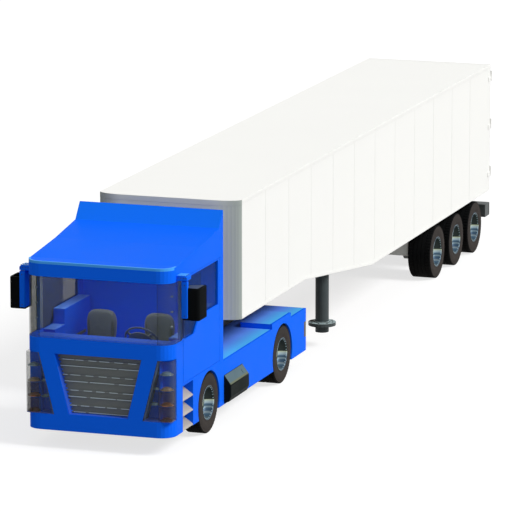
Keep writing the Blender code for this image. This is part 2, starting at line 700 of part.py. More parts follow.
# ---------------------------------------------------------------- tractor chassis
def build_chassis():
    rear = at(TRACTOR_END - RAIL_SHORT)
    frame = box("chassis_frame", RAIL_X, (at(RAIL_FRONT), rear), RAIL_Z, "chassis")
    join(frame, box("rail_right", side_span(-1, *RAIL_X), (at(RAIL_FRONT), rear), RAIL_Z))
    members = (ENGINE[0] - 2 * CROSS_T, ENGINE[1] + CROSS_T, TANK_HANGERS[0], TANK_HANGERS[1],
               *OUTRIGGERS)
    reaches = (RAIL_X[0], RAIL_X[0], TANK_IN_X - GAP, TANK_IN_X - GAP,
               FAIRING_IN - GAP, FAIRING_IN - GAP)
    low = RAIL_Z[0] + CROSS_T / 2
    for index, (station, reach) in enumerate(zip(members, reaches)):
        reach = max(reach, RAIL_X[0] + CROSS_T / 2)
        join(frame, box("cross_%d" % index, (-reach, reach), (at(station), at(station + CROSS_T)),
                        (low, RAIL_Z[1] - CROSS_T / 2)))
    for side, sign in both_sides():
        join(frame, box("tank_hanger_" + side, side_span(sign, TANK_IN_X - CROSS_T, TANK_IN_X - GAP),
                        (at(TANK_HANGERS[0]), at(TANK_HANGERS[1] + CROSS_T)),
                        (TANK_NECK_Z[0], RAIL_Z[1] - CROSS_T)))
    for row, station in enumerate(OUTRIGGERS):
        join(frame, box("deck_post_%d" % row, (-RAIL_X[1], RAIL_X[1]),
                        (at(station), at(station + CROSS_T)),
                        (RAIL_Z[1] - CROSS_T, DECK_Z - DECK_T - GAP)))
    side_play = RAIL_X[0] - GAP
    box("engine_block", (-side_play, side_play), (at(ENGINE[0]), at(ENGINE[1])), ENGINE_Z,
        "iron")
    build_deck()
    build_tanks()
    build_fifth_wheel()


def build_deck():
    inner = FAIRING_IN - GAP
    deck = box("deck_panel", (-inner, inner), (at(CAB_LENGTH + GAP), at(TRACTOR_END)),
               (DECK_Z - DECK_T, DECK_Z), "cab_paint")
    front, rear = (at(station) for station in FENDER)
    for side, sign in both_sides():
        join(deck, box("fender_" + side, side_span(sign, FENDER_X, inner), (front, rear),
                       (DECK_Z - DECK_T, FENDER_TOP)))
        cut(deck, box("fender_well_" + side, side_span(sign, FENDER_X + FENDER_WALL, HALF),
                      (front + DECK_T, rear - DECK_T),
                      (DECK_Z - 2 * DECK_T, FENDER_TOP - DECK_T)))
        build_fairing(side, sign)


def build_fairing(side, sign):
    """Side skirt of the tractor, raised over the twin wheels and cut for them and the tank."""
    front, rear = (at(station) for station in FENDER)
    cab, end = at(CAB_LENGTH + GAP), at(TRACTOR_END)
    foot = math.degrees(math.asin((TYRE_R - CAB_BOTTOM) / ARCH_R))
    arch = arc((at(REAR_AXLE), TYRE_R), (ARCH_R, ARCH_R), 180 + foot, -foot, ARCH_STEPS)
    outline = ([(cab, CAB_BOTTOM)] + arch + [(end, CAB_BOTTOM), (end, DECK_Z),
               (rear, DECK_Z), (rear, FENDER_TOP), (front, FENDER_TOP), (front, DECK_Z),
               (cab, DECK_Z)])
    lamp_x = side_span(sign, TAIL_LAMP_X, HALF)
    box("tail_lamp_" + side, lamp_x, (at(TAIL_LAMP[0]), at(TAIL_LAMP[1])), TAIL_LAMP_Z, "lens")
    low, high = side_span(sign, FAIRING_IN, HALF)
    fairing = prism("side_fairing_" + side, outline, "side", low, high, "cab_paint")
    cut(fairing, box("tank_window_" + side, side_span(sign, FAIRING_IN - FAIRING_T,
                                                      HALF + FAIRING_T),
                     (at(TANK[0] - GAP), at(TANK[1] + GAP)),
                     (TANK_NECK_Z[0] - GAP, TANK_NECK_Z[1] + GAP)),
        box("lamp_notch_" + side, side_span(sign, FAIRING_IN - FAIRING_T, HALF + FAIRING_T),
            (at(TAIL_LAMP[0] - GAP), at(TRACTOR_END) + FAIRING_T),
            (TAIL_LAMP_Z[0] - GAP, TAIL_LAMP_Z[1] + GAP)))


def build_tanks():
    """A deep tank that passes through the side fairing, its outside cut off in flats."""
    rim = HALF + GAP
    section = [(TANK_IN_X, TANK_NECK_Z[0]), (rim, TANK_NECK_Z[0]), (rim, TANK_Z[0]),
               (TANK_SILL_X, TANK_Z[0] + TANK_SILL_RISE), (TANK_OUT_X, TANK_FLAT_Z[0]),
               (TANK_OUT_X, TANK_FLAT_Z[1]), (rim, TANK_Z[1]), (rim, TANK_NECK_Z[1]),
               (TANK_IN_X, TANK_NECK_Z[1])]
    for side, sign in both_sides():
        prism("fuel_tank_" + side, section if sign > 0 else flip(section), "front",
              -at(TANK[1]), -at(TANK[0]), "tank")


def build_fifth_wheel():
    centre = at(KINGPIN_STATION)
    height = FIFTH_Z[1] - FIFTH_Z[0]
    plate = cylinder("fifth_wheel", (0, centre, sum(FIFTH_Z) / 2), (0, 0, 1), FIFTH_R, height,
                     "iron", sides=32)
    join(plate, box("fifth_base", (-FIFTH_BASE[0], FIFTH_BASE[0]),
                    (centre - FIFTH_BASE[1], centre + FIFTH_BASE[1]),
                    (DECK_Z + GAP, FIFTH_Z[0] + height / 2)))
    throat_z = (THROAT_BOTTOM, FIFTH_Z[1] + height)
    cut(plate, cylinder("throat", (0, centre, sum(throat_z) / 2), (0, 0, 1), THROAT_R,
                        throat_z[1] - throat_z[0]),
        box("throat_slot", (-THROAT_R, THROAT_R), (centre, centre + 2 * FIFTH_R), throat_z))


# ---------------------------------------------------------------- wheels and axles
def wheel_profile(tyre_widths, dish_depth):
    """(radius, along) down the wheel from its outer face; 0 is that face, inboard is negative."""
    total = sum(tyre_widths) + TWIN_GAP * (len(tyre_widths) - 1)
    disc = -dish_depth
    back = disc - DISC_T
    profile = [(0, disc + HUB_PROUD), (HUB_R, disc + HUB_PROUD), (DISH_R, disc), (RIM_R, 0)]
    edge = 0
    for index, width in enumerate(tyre_widths):
        if index:
            edge -= TWIN_GAP
            profile += [(RIM_R, edge)]
        profile += [(TYRE_R - SHOULDER[0], edge), (TYRE_R, edge - SHOULDER[1]),
                    (TYRE_R, edge - width + SHOULDER[1]), (TYRE_R - SHOULDER[0], edge - width)]
        edge -= width
        profile += [(RIM_R, edge)]
    bore = SPINDLE_R + SPINDLE_CLEAR
    profile += [(RIM_SEAT_R, -total + SHOULDER[1]), (RIM_SEAT_R, back), (bore, back),
                (bore, back + SPINDLE_L), (0, back + SPINDLE_L)]
    return profile


def wheel(name, station, sign, tyre_widths, dish_depth):
    made = turned(name, wheel_profile(tyre_widths, dish_depth), "tyre", WHEEL_STEPS, sign)
    made.location = (sign * TYRE_FACE_X, at(station), TYRE_R)
    return made


def spindle_reach(dish_depth):
    """X of the disc's back, and of the spindle's end inside the hub."""
    back = TYRE_FACE_X - dish_depth - DISC_T
    return back - GAP, back + SPINDLE_L - GAP


def across(name, low, high, sign, station, radius, sides=24):
    middle = sign * (low + high) / 2
    return cylinder(name, (middle, at(station), TYRE_R), (1, 0, 0), radius, high - low,
                    sides=sides)


def build_front_axle():
    eye_x = KINGPIN_X
    beam_top = AXLE_BEAM_Z[1]
    low, crank = AXLE_CRANK_X
    end = eye_x - EYE_R / 2
    eye_low, eye_high = TYRE_R - EYE_H / 2, TYRE_R + EYE_H / 2
    right = [(low, AXLE_BEAM_Z[0]), (crank, eye_low), (end, eye_low), (end, eye_high),
             (crank, eye_high), (low, beam_top)]
    outline = right + flip(right)
    half_t = AXLE_BEAM_T / 2
    axle = prism("front_axle", outline, "front", -at(FRONT_AXLE) - half_t,
                 -at(FRONT_AXLE) + half_t, "iron")
    for side, sign in both_sides():
        centre = (sign * eye_x, at(FRONT_AXLE), TYRE_R)
        join(axle, cylinder("eye_" + side, centre, (0, 0, 1), EYE_R, EYE_H))
    for side, sign in both_sides():
        centre = (sign * eye_x, at(FRONT_AXLE), TYRE_R)
        cut(axle, cylinder("eye_bore_" + side, centre, (0, 0, 1), EYE_BORE_R, 2 * EYE_H))
        join(axle, *spring_parts("front_spring_" + side, FRONT_AXLE, sign, beam_top))
        build_knuckle(side, sign)


def spring_parts(name, station, sign, seat_z):
    """A leaf spring over the axle, with a pad and two hangers up to the rail."""
    x = side_span(sign, SPRING_X - SPRING_W / 2, SPRING_X + SPRING_W / 2)
    top = RAIL_Z[0] - GAP
    leaf_z = seat_z + SPRING_T
    middle = at(station)
    parts = [box(name + "_pad", x, (middle - SPRING_W, middle + SPRING_W),
                 (seat_z - SPRING_T / 2, leaf_z + SPRING_T / 2)),
             box(name + "_leaf", x, (middle - SPRING_HALF_L, middle + SPRING_HALF_L),
                 (leaf_z, leaf_z + SPRING_T))]
    for end, way in (("front", -1), ("rear", 1)):
        edge = middle + way * (SPRING_HALF_L - SPRING_W / 2)
        parts.append(box(name + "_" + end, x, (edge - SPRING_W / 2, edge + SPRING_W / 2),
                         (leaf_z + SPRING_T / 2, top)))
    return parts


def build_knuckle(side, sign):
    """Forked knuckle: ears over and under the eye, the pin through them, and the spindle."""
    back, tip = spindle_reach(DISH_DEPTH)
    ear_low = TYRE_R + EYE_H / 2 + EAR_CLEAR
    plate_x = KINGPIN_X + EYE_R + KNUCKLE_CLEAR
    span = side_span(sign, KINGPIN_X - EYE_R, plate_x + KNUCKLE_CLEAR)
    half_t = EYE_R
    y = (at(FRONT_AXLE) - half_t, at(FRONT_AXLE) + half_t)
    low_z = 2 * TYRE_R - ear_low
    knuckle = box("knuckle_" + side, side_span(sign, plate_x, back - GAP),
                  y, (low_z - EAR_T, ear_low + EAR_T), "iron")
    join(knuckle, box("ear_top_" + side, span, y, (ear_low, ear_low + EAR_T)),
         box("ear_low_" + side, span, y, (low_z - EAR_T, low_z)))
    pin_h = 2 * (ear_low - TYRE_R) + EAR_T
    join(knuckle, cylinder("pin_" + side, (sign * KINGPIN_X, at(FRONT_AXLE), TYRE_R), (0, 0, 1),
                           KINGPIN_R, pin_h),
         across("spindle_" + side, back - EAR_T / 2, tip, sign, FRONT_AXLE, SPINDLE_R))


def build_rear_axle():
    back, tip = spindle_reach(DISH_DEPTH)
    axle = cylinder("rear_axle", (0, at(REAR_AXLE), TYRE_R), (1, 0, 0), TUBE_R, 2 * back,
                    "iron")
    join(axle, cylinder("half_shafts", (0, at(REAR_AXLE), TYRE_R), (1, 0, 0), SPINDLE_R,
                        2 * tip),
         cylinder("final_drive", (0, at(REAR_AXLE), TYRE_R), (0, 1, 0), FINAL_DRIVE_R,
                  FINAL_DRIVE_LENGTH))
    for side, sign in both_sides():
        join(axle, *spring_parts("rear_spring_" + side, REAR_AXLE, sign, TYRE_R + TUBE_R))


def build_wheels():
    for side, sign in both_sides():
        wheel("front_wheel_" + side, FRONT_AXLE, sign, (FRONT_TYRE_W,), DISH_DEPTH)
        wheel("rear_twin_wheel_" + side, REAR_AXLE, sign, (TWIN_TYRE_W, TWIN_TYRE_W),
              DISH_DEPTH)
        for row, station in enumerate(TRAILER_AXLES, 1):
            wheel("trailer_wheel_%d_%s" % (row, side), station, sign, (TRAILER_TYRE_W,),
                  DISH_DEPTH)


# ---------------------------------------------------------------- trailer
def underside(station):
    """Z of the box's underside at a station."""
    share = (station - NOSE_END) / (SLOPE_END - NOSE_END)
    return NOSE_Z + (TAIL_Z - NOSE_Z) * min(1.0, max(0.0, share))


def build_box():
    side_front = TRAILER_FRONT + TRAILER_CORNER[1]
    roof_z = TRAILER_TOP - TRAILER_T
    prism("trailer_front_wall",
          u_outline(HALF, TRAILER_CORNER, TRAILER_T, at(TRAILER_FRONT), at(side_front), steps=8),
          "plan", NOSE_Z, roof_z - GAP, "trailer_grey")
    prism("trailer_roof", rounded_front(HALF, TRAILER_CORNER, at(TRAILER_FRONT), at(SIDE_REAR),
                                        steps=8),
          "plan", roof_z, TRAILER_TOP, "trailer_paint")
    under = [(at(side_front + GAP), NOSE_Z), (at(NOSE_END), NOSE_Z), (at(SLOPE_END), TAIL_Z),
             (at(SIDE_REAR), TAIL_Z)]
    wall = under + [(at(SIDE_REAR), roof_z - GAP), (at(side_front + GAP), roof_z - GAP)]
    for side, sign in both_sides():
        low, high = side_span(sign, HALF - TRAILER_T, HALF)
        prism("trailer_side_" + side, wall, "side", low, high, "trailer_paint")
    build_trailer_floor(under)
    build_rear()


def build_trailer_floor(under):
    front = at(TRAILER_FRONT + TRAILER_T + GAP)
    below = [(front, NOSE_Z)] + under[1:]
    section = below + [(y, z + FLOOR_THICK) for y, z in reversed(below)]
    half = HALF - TRAILER_T - GAP
    floor = prism("trailer_floor", section, "side", -half, half, "trailer_grey")
    corner = [radius - TRAILER_T - GAP for radius in TRAILER_CORNER]
    combine(floor, prism("floor_plan", rounded_front(half, corner, front, at(SIDE_REAR), steps=8),
                         "plan", TAIL_Z - FLOOR_THICK, NOSE_Z + 2 * FLOOR_THICK), "INTERSECT")


def build_rear():
    outer = [(-HALF, TAIL_Z), (HALF, TAIL_Z), (HALF, TRAILER_TOP), (-HALF, TRAILER_TOP)]
    opening = [(-HALF + FRAME_W, TAIL_Z + FLOOR_THICK), (HALF - FRAME_W, TAIL_Z + FLOOR_THICK),
               (HALF - FRAME_W, TRAILER_TOP - FRAME_W), (-HALF + FRAME_W, TRAILER_TOP - FRAME_W)]
    frame = prism("trailer_rear_frame", outer, "front", -at(FRAME_REAR), -at(SIDE_REAR + GAP),
                  "trailer_paint", holes=[opening])
    for side, sign in both_sides():
        door = box("trailer_door_" + side, side_span(sign, DOOR_GAP / 2, HALF - DOOR_GAP),
                   (at(FRAME_REAR + DOOR_GAP), at(REAR_DOOR_FACE)), (TAIL_Z, TRAILER_TOP),
                   "trailer_paint")
        for index, low_z in enumerate(REAR_HINGES_Z):
            build_rear_hinge("rear_hinge_%s_%d" % (side, index), sign, low_z, frame, door)


def build_rear_hinge(name, sign, low_z, frame, door):
    """A lug and barrel on the frame, and above the lug a strap on the door."""
    axis_y = at(REAR_DOOR_FACE)
    barrel_h = 2 * HINGE_H
    join(frame, box(name + "_lug", side_span(sign, *REAR_HINGE_LUG_X),
                    (at(FRAME_REAR - HINGE_H), axis_y), (low_z, low_z + HINGE_H - DOOR_GAP)),
         cylinder(name + "_barrel", (sign * REAR_HINGE_X, axis_y, low_z + barrel_h / 2),
                  (0, 0, 1), HINGE_R, barrel_h, sides=16))
    join(door, box(name + "_strap", side_span(sign, HALF - 2 * HINGE_H,
                                              REAR_HINGE_X - HINGE_R - HINGE_CLEAR),
                   (axis_y - HINGE_R, axis_y + HINGE_R),
                   (low_z + HINGE_H, low_z + barrel_h - DOOR_GAP)))


def build_coupler():
    bottom = FIFTH_Z[1] + COUPLER_CLEAR
    coupler = box("trailer_coupler", (-COUPLER_X, COUPLER_X), (at(COUPLER[0]), at(COUPLER[1])),
                  (bottom, NOSE_Z - GAP), "chassis")
    pin_top = bottom + CROSS_T
    join(coupler, cylinder("king_pin", (0, at(KINGPIN_STATION), (PIN_BOTTOM + pin_top) / 2),
                           (0, 0, 1), PIN_R, pin_top - PIN_BOTTOM))


def build_landing_gear():
    top = underside(LEG_STATION)
    slope = math.atan2(TAIL_Z - NOSE_Z, SLOPE_END - NOSE_END)
    legs = box("landing_gear", (-LEG_X, LEG_X),
               (at(LEG_STATION) - CROSS_T, at(LEG_STATION) + CROSS_T),
               (top - LEG_TIE_DROP, top + CROSS_T), "chassis")
    for side, sign in both_sides():
        x = sign * LEG_X
        y = at(LEG_STATION)
        join(legs,
             cylinder("post_" + side, (x, y, (top + FOOT_Z[0]) / 2), (0, 0, 1), LEG_R,
                      top - FOOT_Z[0] + 2 * LEG_R),
             cylinder("foot_" + side, (x, y, sum(FOOT_Z) / 2), (0, 0, 1), FOOT_R,
                      FOOT_Z[1] - FOOT_Z[0]))
    above = box("above_floor", (-HALF, HALF), (-1, 1), (-GAP, 1))
    above.location = (0, at(LEG_STATION), top + 0.5 / math.cos(slope) - GAP)
    above.rotation_euler = (slope, 0, 0)
    cut(legs, above)


def build_bogie():
    top = TAIL_Z - GAP
    frame = box("bogie_frame", BOGIE_X, (at(BOGIE[0]), at(BOGIE[1])), (BOGIE_BOTTOM, top),
                "trailer_grey")
    join(frame, box("bogie_rail_right", side_span(-1, *BOGIE_X), (at(BOGIE[0]), at(BOGIE[1])),
                    (BOGIE_BOTTOM, top)),
         box("bulkhead", (-BULKHEAD_X, BULKHEAD_X), (at(BOGIE[0] - BULKHEAD_T / 2),
             at(BOGIE[0] + BULKHEAD_T / 2)), (BULKHEAD_Z, top)),
         box("bogie_tie", (-BOGIE_X[1], BOGIE_X[1]), (at(BOGIE[1] - CROSS_T), at(BOGIE[1])),
             (BOGIE_BOTTOM, top)))
    back, tip = spindle_reach(DISH_DEPTH)
    for row, station in enumerate(TRAILER_AXLES, 1):
        middle = (0, at(station), TYRE_R)
        join(frame, cylinder("axle_%d" % row, middle, (1, 0, 0), AXLE_R, 2 * back),
             cylinder("spindles_%d" % row, middle, (1, 0, 0), SPINDLE_R, 2 * tip))
        for side, sign in both_sides():
            join(frame, box("axle_seat_%d_%s" % (row, side), side_span(sign, *AXLE_SEAT_X),
                            (at(station) - AXLE_R, at(station) + AXLE_R),
                            (TYRE_R, BOGIE_BOTTOM + CROSS_T)))


def build_bumper():
    bumper = box("rear_bumper", (-HALF, HALF), (at(BUMPER[0]), at(BUMPER[1])), BUMPER_Z,
                 "trailer_grey")
    for side, sign in both_sides():
        join(bumper, box("bumper_arm_" + side, side_span(sign, *BUMPER_ARM_X),
                         (at(BUMPER[0]), at(BUMPER[0] + CROSS_T)),
                         (BUMPER_Z[0], TAIL_Z - GAP)))


build_cab()
build_chassis()
build_front_axle()
build_rear_axle()
build_wheels()
build_box()
build_coupler()
build_landing_gear()
build_bogie()
build_bumper()


# ---------------------------------------------------------------- pivots of the moving pieces
def pivot(name, station, x, z, held):
    """An empty on a joint's axis, with the pieces that move about it as its children."""
    empty = bpy.data.objects.new(name, None)
    PARTS.objects.link(empty)
    empty.location = (x, at(station), z)
    bpy.context.view_layer.update()
    for piece in held:
        child = bpy.data.objects[piece]
        child.parent = empty
        child.matrix_parent_inverse = empty.matrix_world.inverted()


for side, sign in both_sides():
    pivot("cab_door_pivot_" + side, HINGE_STATION, sign * HALF, DOOR_BOTTOM,
          ("cab_door_" + side, "door_glass_" + side))
    pivot("steer_pivot_" + side, FRONT_AXLE, sign * KINGPIN_X, TYRE_R,
          ("knuckle_" + side, "front_wheel_" + side))
    pivot("rear_door_pivot_" + side, OVERALL_LENGTH - HINGE_R, sign * REAR_HINGE_X, TAIL_Z,
          ("trailer_door_" + side,))
pivot("trailer_pivot", KINGPIN_STATION, 0, FIFTH_Z[1],
      [piece.name for piece in PARTS.objects
       if piece.name.startswith(("trailer_", "landing_", "bogie_"))
       and piece.parent is None] + ["rear_bumper", "rear_door_pivot_left",
                                    "rear_door_pivot_right"])
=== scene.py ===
"""Looks of the articulated lorry: finishes, tyres, lamps, cab inside, trailer fittings, studio."""
import json
import math

import bmesh
import bpy
from mathutils import Matrix, Vector


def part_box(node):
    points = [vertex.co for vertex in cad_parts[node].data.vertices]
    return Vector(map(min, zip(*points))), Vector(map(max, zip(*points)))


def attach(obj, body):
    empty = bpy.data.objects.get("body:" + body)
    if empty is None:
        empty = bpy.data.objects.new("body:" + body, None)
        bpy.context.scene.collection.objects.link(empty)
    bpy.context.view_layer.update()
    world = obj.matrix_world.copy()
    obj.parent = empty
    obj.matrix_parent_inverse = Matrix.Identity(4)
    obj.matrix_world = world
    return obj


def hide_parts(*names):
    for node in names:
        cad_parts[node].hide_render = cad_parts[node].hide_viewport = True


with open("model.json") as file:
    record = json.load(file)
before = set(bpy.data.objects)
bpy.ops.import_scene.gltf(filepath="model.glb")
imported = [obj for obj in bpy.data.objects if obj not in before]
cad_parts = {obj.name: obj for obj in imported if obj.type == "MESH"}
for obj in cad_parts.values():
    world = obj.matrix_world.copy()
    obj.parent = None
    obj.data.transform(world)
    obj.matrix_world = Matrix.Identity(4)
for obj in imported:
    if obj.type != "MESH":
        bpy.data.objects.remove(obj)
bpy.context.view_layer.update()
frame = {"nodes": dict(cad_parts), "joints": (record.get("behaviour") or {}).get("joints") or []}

NODES = frame["nodes"]
SIDES = (("left", 1), ("right", -1))


# -------------------------------- shader nodes
def plug(made, value, target):
    """Gives an input a value, or links it to an output or to a node's first output."""
    if isinstance(value, bpy.types.Node):
        value = next(output for output in value.outputs if output.enabled)
    if isinstance(value, bpy.types.NodeSocket):
        made.node_tree.links.new(value, target)
    else:
        target.default_value = value


def add_node(made, kind, inputs=None, **settings):
    """A shader node: its settings come first, because they decide which inputs it has."""
    node = made.node_tree.nodes.new("ShaderNode" + kind)
    for name, value in settings.items():
        setattr(node, name, value)
    for socket, value in (inputs or {}).items():
        plug(made, value, node.inputs[socket])
    return node


def add_range(made, value, start, end, low=0.0, high=1.0, **settings):
    """Carries a value from between start and end to between low and high."""
    return add_node(made, "MapRange", {"Value": value, "From Min": start, "From Max": end,
                                       "To Min": low, "To Max": high}, **settings)


def add_math(made, operation, *values):
    return add_node(made, "Math", dict(enumerate(values)), operation=operation)


def add_mix(made, share, below, colour):
    return add_node(made, "Mix", {"Factor": share, "A": below, "B": (*colour, 1)},
                    data_type="RGBA")


def add_ramp(made, source, first, last, *between):
    """A colour ramp; each stop is (place, colour)."""
    ramp = add_node(made, "ValToRGB", {"Fac": source})
    stops = ramp.color_ramp.elements
    for index, (place, colour) in enumerate((first, last)):
        stops[index].position = place
        stops[index].color = colour
    for place, colour in between:
        stops.new(place).color = colour
    return ramp


# -------------------------------- materials
def linear(red, green, blue):
    """A 0-255 screen colour as linear numbers."""
    return tuple((v / 12.92 if v <= 0.04045 else ((v + 0.055) / 1.055) ** 2.4)
                 for v in (c / 255 for c in (red, green, blue)))


def shade(colour, factor):
    return (*(min(1.0, c * factor) for c in colour), 1.0)


SKY_REFLECTION_BANDS = (
    # a painted reflection of sky and ground: height of the direction, 0 down to 1 up: screen
    # colour; the two ends come first
    (0.0, (44, 56, 52)), (1.0, (92, 106, 108)), (0.50, (40, 51, 48)), (0.51, (205, 216, 180)),
    (0.55, (190, 208, 205)), (0.60, (166, 190, 202)), (0.64, (80, 108, 130)),
    (0.68, (50, 76, 98)), (0.72, (122, 144, 154)), (0.76, (54, 80, 102)), (0.82, (48, 72, 94)),
    (0.86, (120, 136, 144)), (0.90, (66, 92, 112)), (0.94, (56, 80, 100)),
)
DUST = linear(120, 112, 100)
DUST_FROM = 0.1                             # height below which dust is at its full strength
CLOUD_ENDS = (0.3, 0.7)                     # noise values that give the two ends of a range
BUMP_DEPTH = 0.002


def finish(name, colour, roughness, metallic=0.0, coat=0.0, specular=0.5, vary=0.05, broad=0.8,
           grain=90.0, bump=0.05, rough_vary=0.06, stretch=(1, 1, 1), dust=0.0, dust_top=1.0,
           alpha=1.0, sheen=0.0, edge=None, painted_reflection=False, soft=0.0):
    """Principled material with uneven colour, gloss and surface, and dust low down.

    edge is (from, to, colour): the colour the sides fade to between two distances from the
    middle plane; the deck uses it for a painted highlight on its outer edges, and the trailer's
    front wall for painted shade at its corners. soft is the radius that sharp edges shade as.
    A switch for a painted reflection replaces bright metal's colour with one that goes by the
    direction the surface faces: banded sky above and dark ground below.
    """
    made = bpy.data.materials.new(name)
    made.use_nodes = True
    place = add_node(made, "TexCoord").outputs["Object"]
    mapping = add_node(made, "Mapping", {"Scale": stretch, "Vector": place})
    cloud, fine = (add_node(made, "TexNoise", {"Scale": scale, "Detail": detail,
                                               "Vector": mapping})
                   for scale, detail in ((broad, 5), (grain, 3)))
    tint = add_ramp(made, cloud, *((at, shade(colour, factor))
                                   for at, factor in zip(CLOUD_ENDS, (1 - vary, 1 + vary))))
    gloss = add_range(made, cloud, *CLOUD_ENDS, max(0.02, roughness - rough_vary),
                      min(1.0, roughness + rough_vary))
    relief = {"Strength": bump, "Distance": BUMP_DEPTH, "Height": fine}
    if soft:
        relief["Normal"] = add_node(made, "Bevel", {"Radius": soft}, samples=4)
    if painted_reflection:
        normal = add_node(made, "NewGeometry").outputs["Normal"]
        upward = add_node(made, "SeparateXYZ", {"Vector": normal}).outputs["Z"]
        tint = add_ramp(made, add_range(made, upward, -1, 1),
                        *((at, shade(linear(*band), 1)) for at, band in SKY_REFLECTION_BANDS))
    split = add_node(made, "SeparateXYZ", {"Vector": place})
    if edge:
        start, end, far = edge
        away = add_math(made, "ABSOLUTE", split.outputs["X"])
        tint = add_mix(made, add_range(made, away, start, end, interpolation_type="SMOOTHSTEP"),
                       tint, far)
    if dust:
        low = add_range(made, split.outputs["Z"], DUST_FROM, dust_top, dust, 0.0)
        tint = add_mix(made, add_math(made, "MULTIPLY", low, fine), tint, DUST)
    shader = made.node_tree.nodes["Principled BSDF"]
    for socket, value in {"Base Color": tint, "Metallic": metallic, "Roughness": gloss,
                          "Normal": add_node(made, "Bump", relief), "Alpha": alpha,
                          "Specular IOR Level": specular, "Coat Weight": coat,
                          "Coat Roughness": 0.06, "Sheen Weight": sheen}.items():
        plug(made, value, shader.inputs[socket])
    return made


ZONE_SOURCES = {"place": ("TexCoord", "Object"), "facing": ("NewGeometry", "Normal")}


def paint_zone(made, colour, *limits):
    """Another colour where every limit holds: place or facing, axis, low, high."""
    inside = None
    for source, axis, low, high in limits:
        kind, output = ZONE_SOURCES[source]
        split = add_node(made, "SeparateXYZ", {"Vector": add_node(made, kind).outputs[output]})
        test = add_math(made, "COMPARE", split.outputs[axis], (low + high) / 2, (high - low) / 2)
        inside = add_math(made, "MULTIPLY", inside, test) if inside else test
    base = made.node_tree.nodes["Principled BSDF"].inputs["Base Color"]
    plug(made, add_mix(made, inside, base.links[0].from_socket, colour), base)


BLUE = (0.0055, 0.146, 1.0)
# light blue for painted highlights
HIGHLIGHT_BLUE = (0.075, 0.40, 1.0)
FRAME_GREY = linear(62, 70, 72)
CAB = dict(specular=0.008, vary=0.02, bump=0.03, grain=240, dust=0.015, soft=0.012)
PANE = dict(vary=0.08, bump=0.004, grain=3, rough_vary=0.01)
LENS = dict(specular=0.05, vary=0.1, bump=0.05, grain=60, rough_vary=0.03, alpha=0.28)
BULB = dict(coat=0.2, vary=0.08)
FRAME = dict(specular=0.2, vary=0.12, broad=2.5, grain=120, bump=0.12, soft=0.008)
TANK_METAL = dict(vary=0.08, broad=3, grain=60, bump=0.02)
FRONT_WALL = dict(specular=0.1, vary=0.02, broad=0.9, grain=110, bump=0.05)

PAINT, ROOF_PAINT, SIDE_PAINT, DOOR_PAINT = (
    finish(name, BLUE, 0.4, **CAB)
    for name in ("cab_blue", "cab_roof_blue", "cab_side_blue", "cab_door_blue"))
LINING = finish("grille_lining_blue", (0.05, 0.16, 0.84), 0.4, specular=0.05, vary=0.04)
# Light blue on the visor's top edge and the mirror arm's top: a painted highlight.
LIP_HIGHLIGHT = finish("visor_lip_blue", HIGHLIGHT_BLUE, 0.35, specular=0.05, vary=0.02, bump=0.03)
# The deck's top is a lighter blue than the cab, lighter again towards its outer edges: painted
# light where the trailer above shades the deck.
DECK = finish("deck_blue", (0.125, 0.28, 1.0), 0.5, specular=0.04, broad=2.5, bump=0.15,
              grain=300, edge=(0.80, 1.23, (0.085, 0.50, 1.0)), soft=0.012)
TRIM_BLUE = finish("cabin_blue_trim", (0.055, 0.19, 0.9), 0.6, specular=0.1, vary=0.04,
                   bump=0.15, grain=400)
GLASS = finish("tinted_glass", (0.050, 0.060, 0.035), 0.03, specular=0.03, alpha=0.35, **PANE)
DOOR_GLASS = finish("door_glass", (0.004, 0.040, 0.190), 0.03, specular=0.008, alpha=0.50,
                    **PANE)
TINT = finish("edge_tint", (0.05, 0.06, 0.04), 0.03, specular=0.03, alpha=0.10, **PANE)
LENS_CLEAR = finish("clear_lens", (0.10, 0.115, 0.075), 0.05, specular=0.05, vary=0.1,
                    bump=0.02, grain=30, rough_vary=0.02, alpha=0.2)
LENS_AMBER = finish("amber_lens", (0.11, 0.055, 0.085), 0.08, **LENS)
LENS_RED = finish("red_lens", (0.10, 0.035, 0.085), 0.08, **LENS)
LAMP_WALL = finish("lamp_wall", linear(96, 116, 150), 0.5, vary=0.06)
BULB_CLEAR = finish("bulb_clear", linear(122, 152, 172), 0.2, **BULB)
BULB_AMBER = finish("bulb_amber", linear(150, 128, 108), 0.25, **BULB)
BULB_BROWN = finish("bulb_orange", linear(190, 120, 80), 0.25, **BULB)
BULB_RED = finish("bulb_red", linear(92, 34, 50), 0.25, **BULB)
GRILLE = finish("grille_plastic", linear(112, 118, 118), 0.55, vary=0.08, bump=0.2, grain=300)
# pale dashes on the grille's ledges: painted highlights
GRILLE_GLINT = finish("grille_edge", linear(186, 203, 209), 0.4, metallic=0.1, vary=0.08)
BLACK = finish("black_plastic", linear(14, 16, 17), 0.6, specular=0.01, vary=0.1, bump=0.2,
               grain=500)
MIRROR = finish("mirror_glass", (0.42, 0.46, 0.50), 0.04, metallic=1.0, vary=0.02, bump=0.002,
                grain=4, rough_vary=0.01)
RUBBER = finish("tyre_rubber", linear(58, 54, 52), 0.85, vary=0.10, broad=6, grain=220,
                bump=0.35, specular=0.05, dust=0.06, dust_top=0.8)
TREAD = finish("tyre_tread", linear(17, 18, 19), 0.9, vary=0.12, broad=8, grain=260, bump=0.4,
               specular=0.05, dust=0.06, dust_top=0.5)
# The rims' steel colour is a painted reflection, banded sky above and dark ground below.
PAINTED_REFLECTION_STEEL = finish("wheel_steel", linear(150, 172, 184), 0.36, metallic=0.2, specular=0.2,
                vary=0.08, broad=9, grain=60, bump=0.03, rough_vary=0.08, painted_reflection=True)
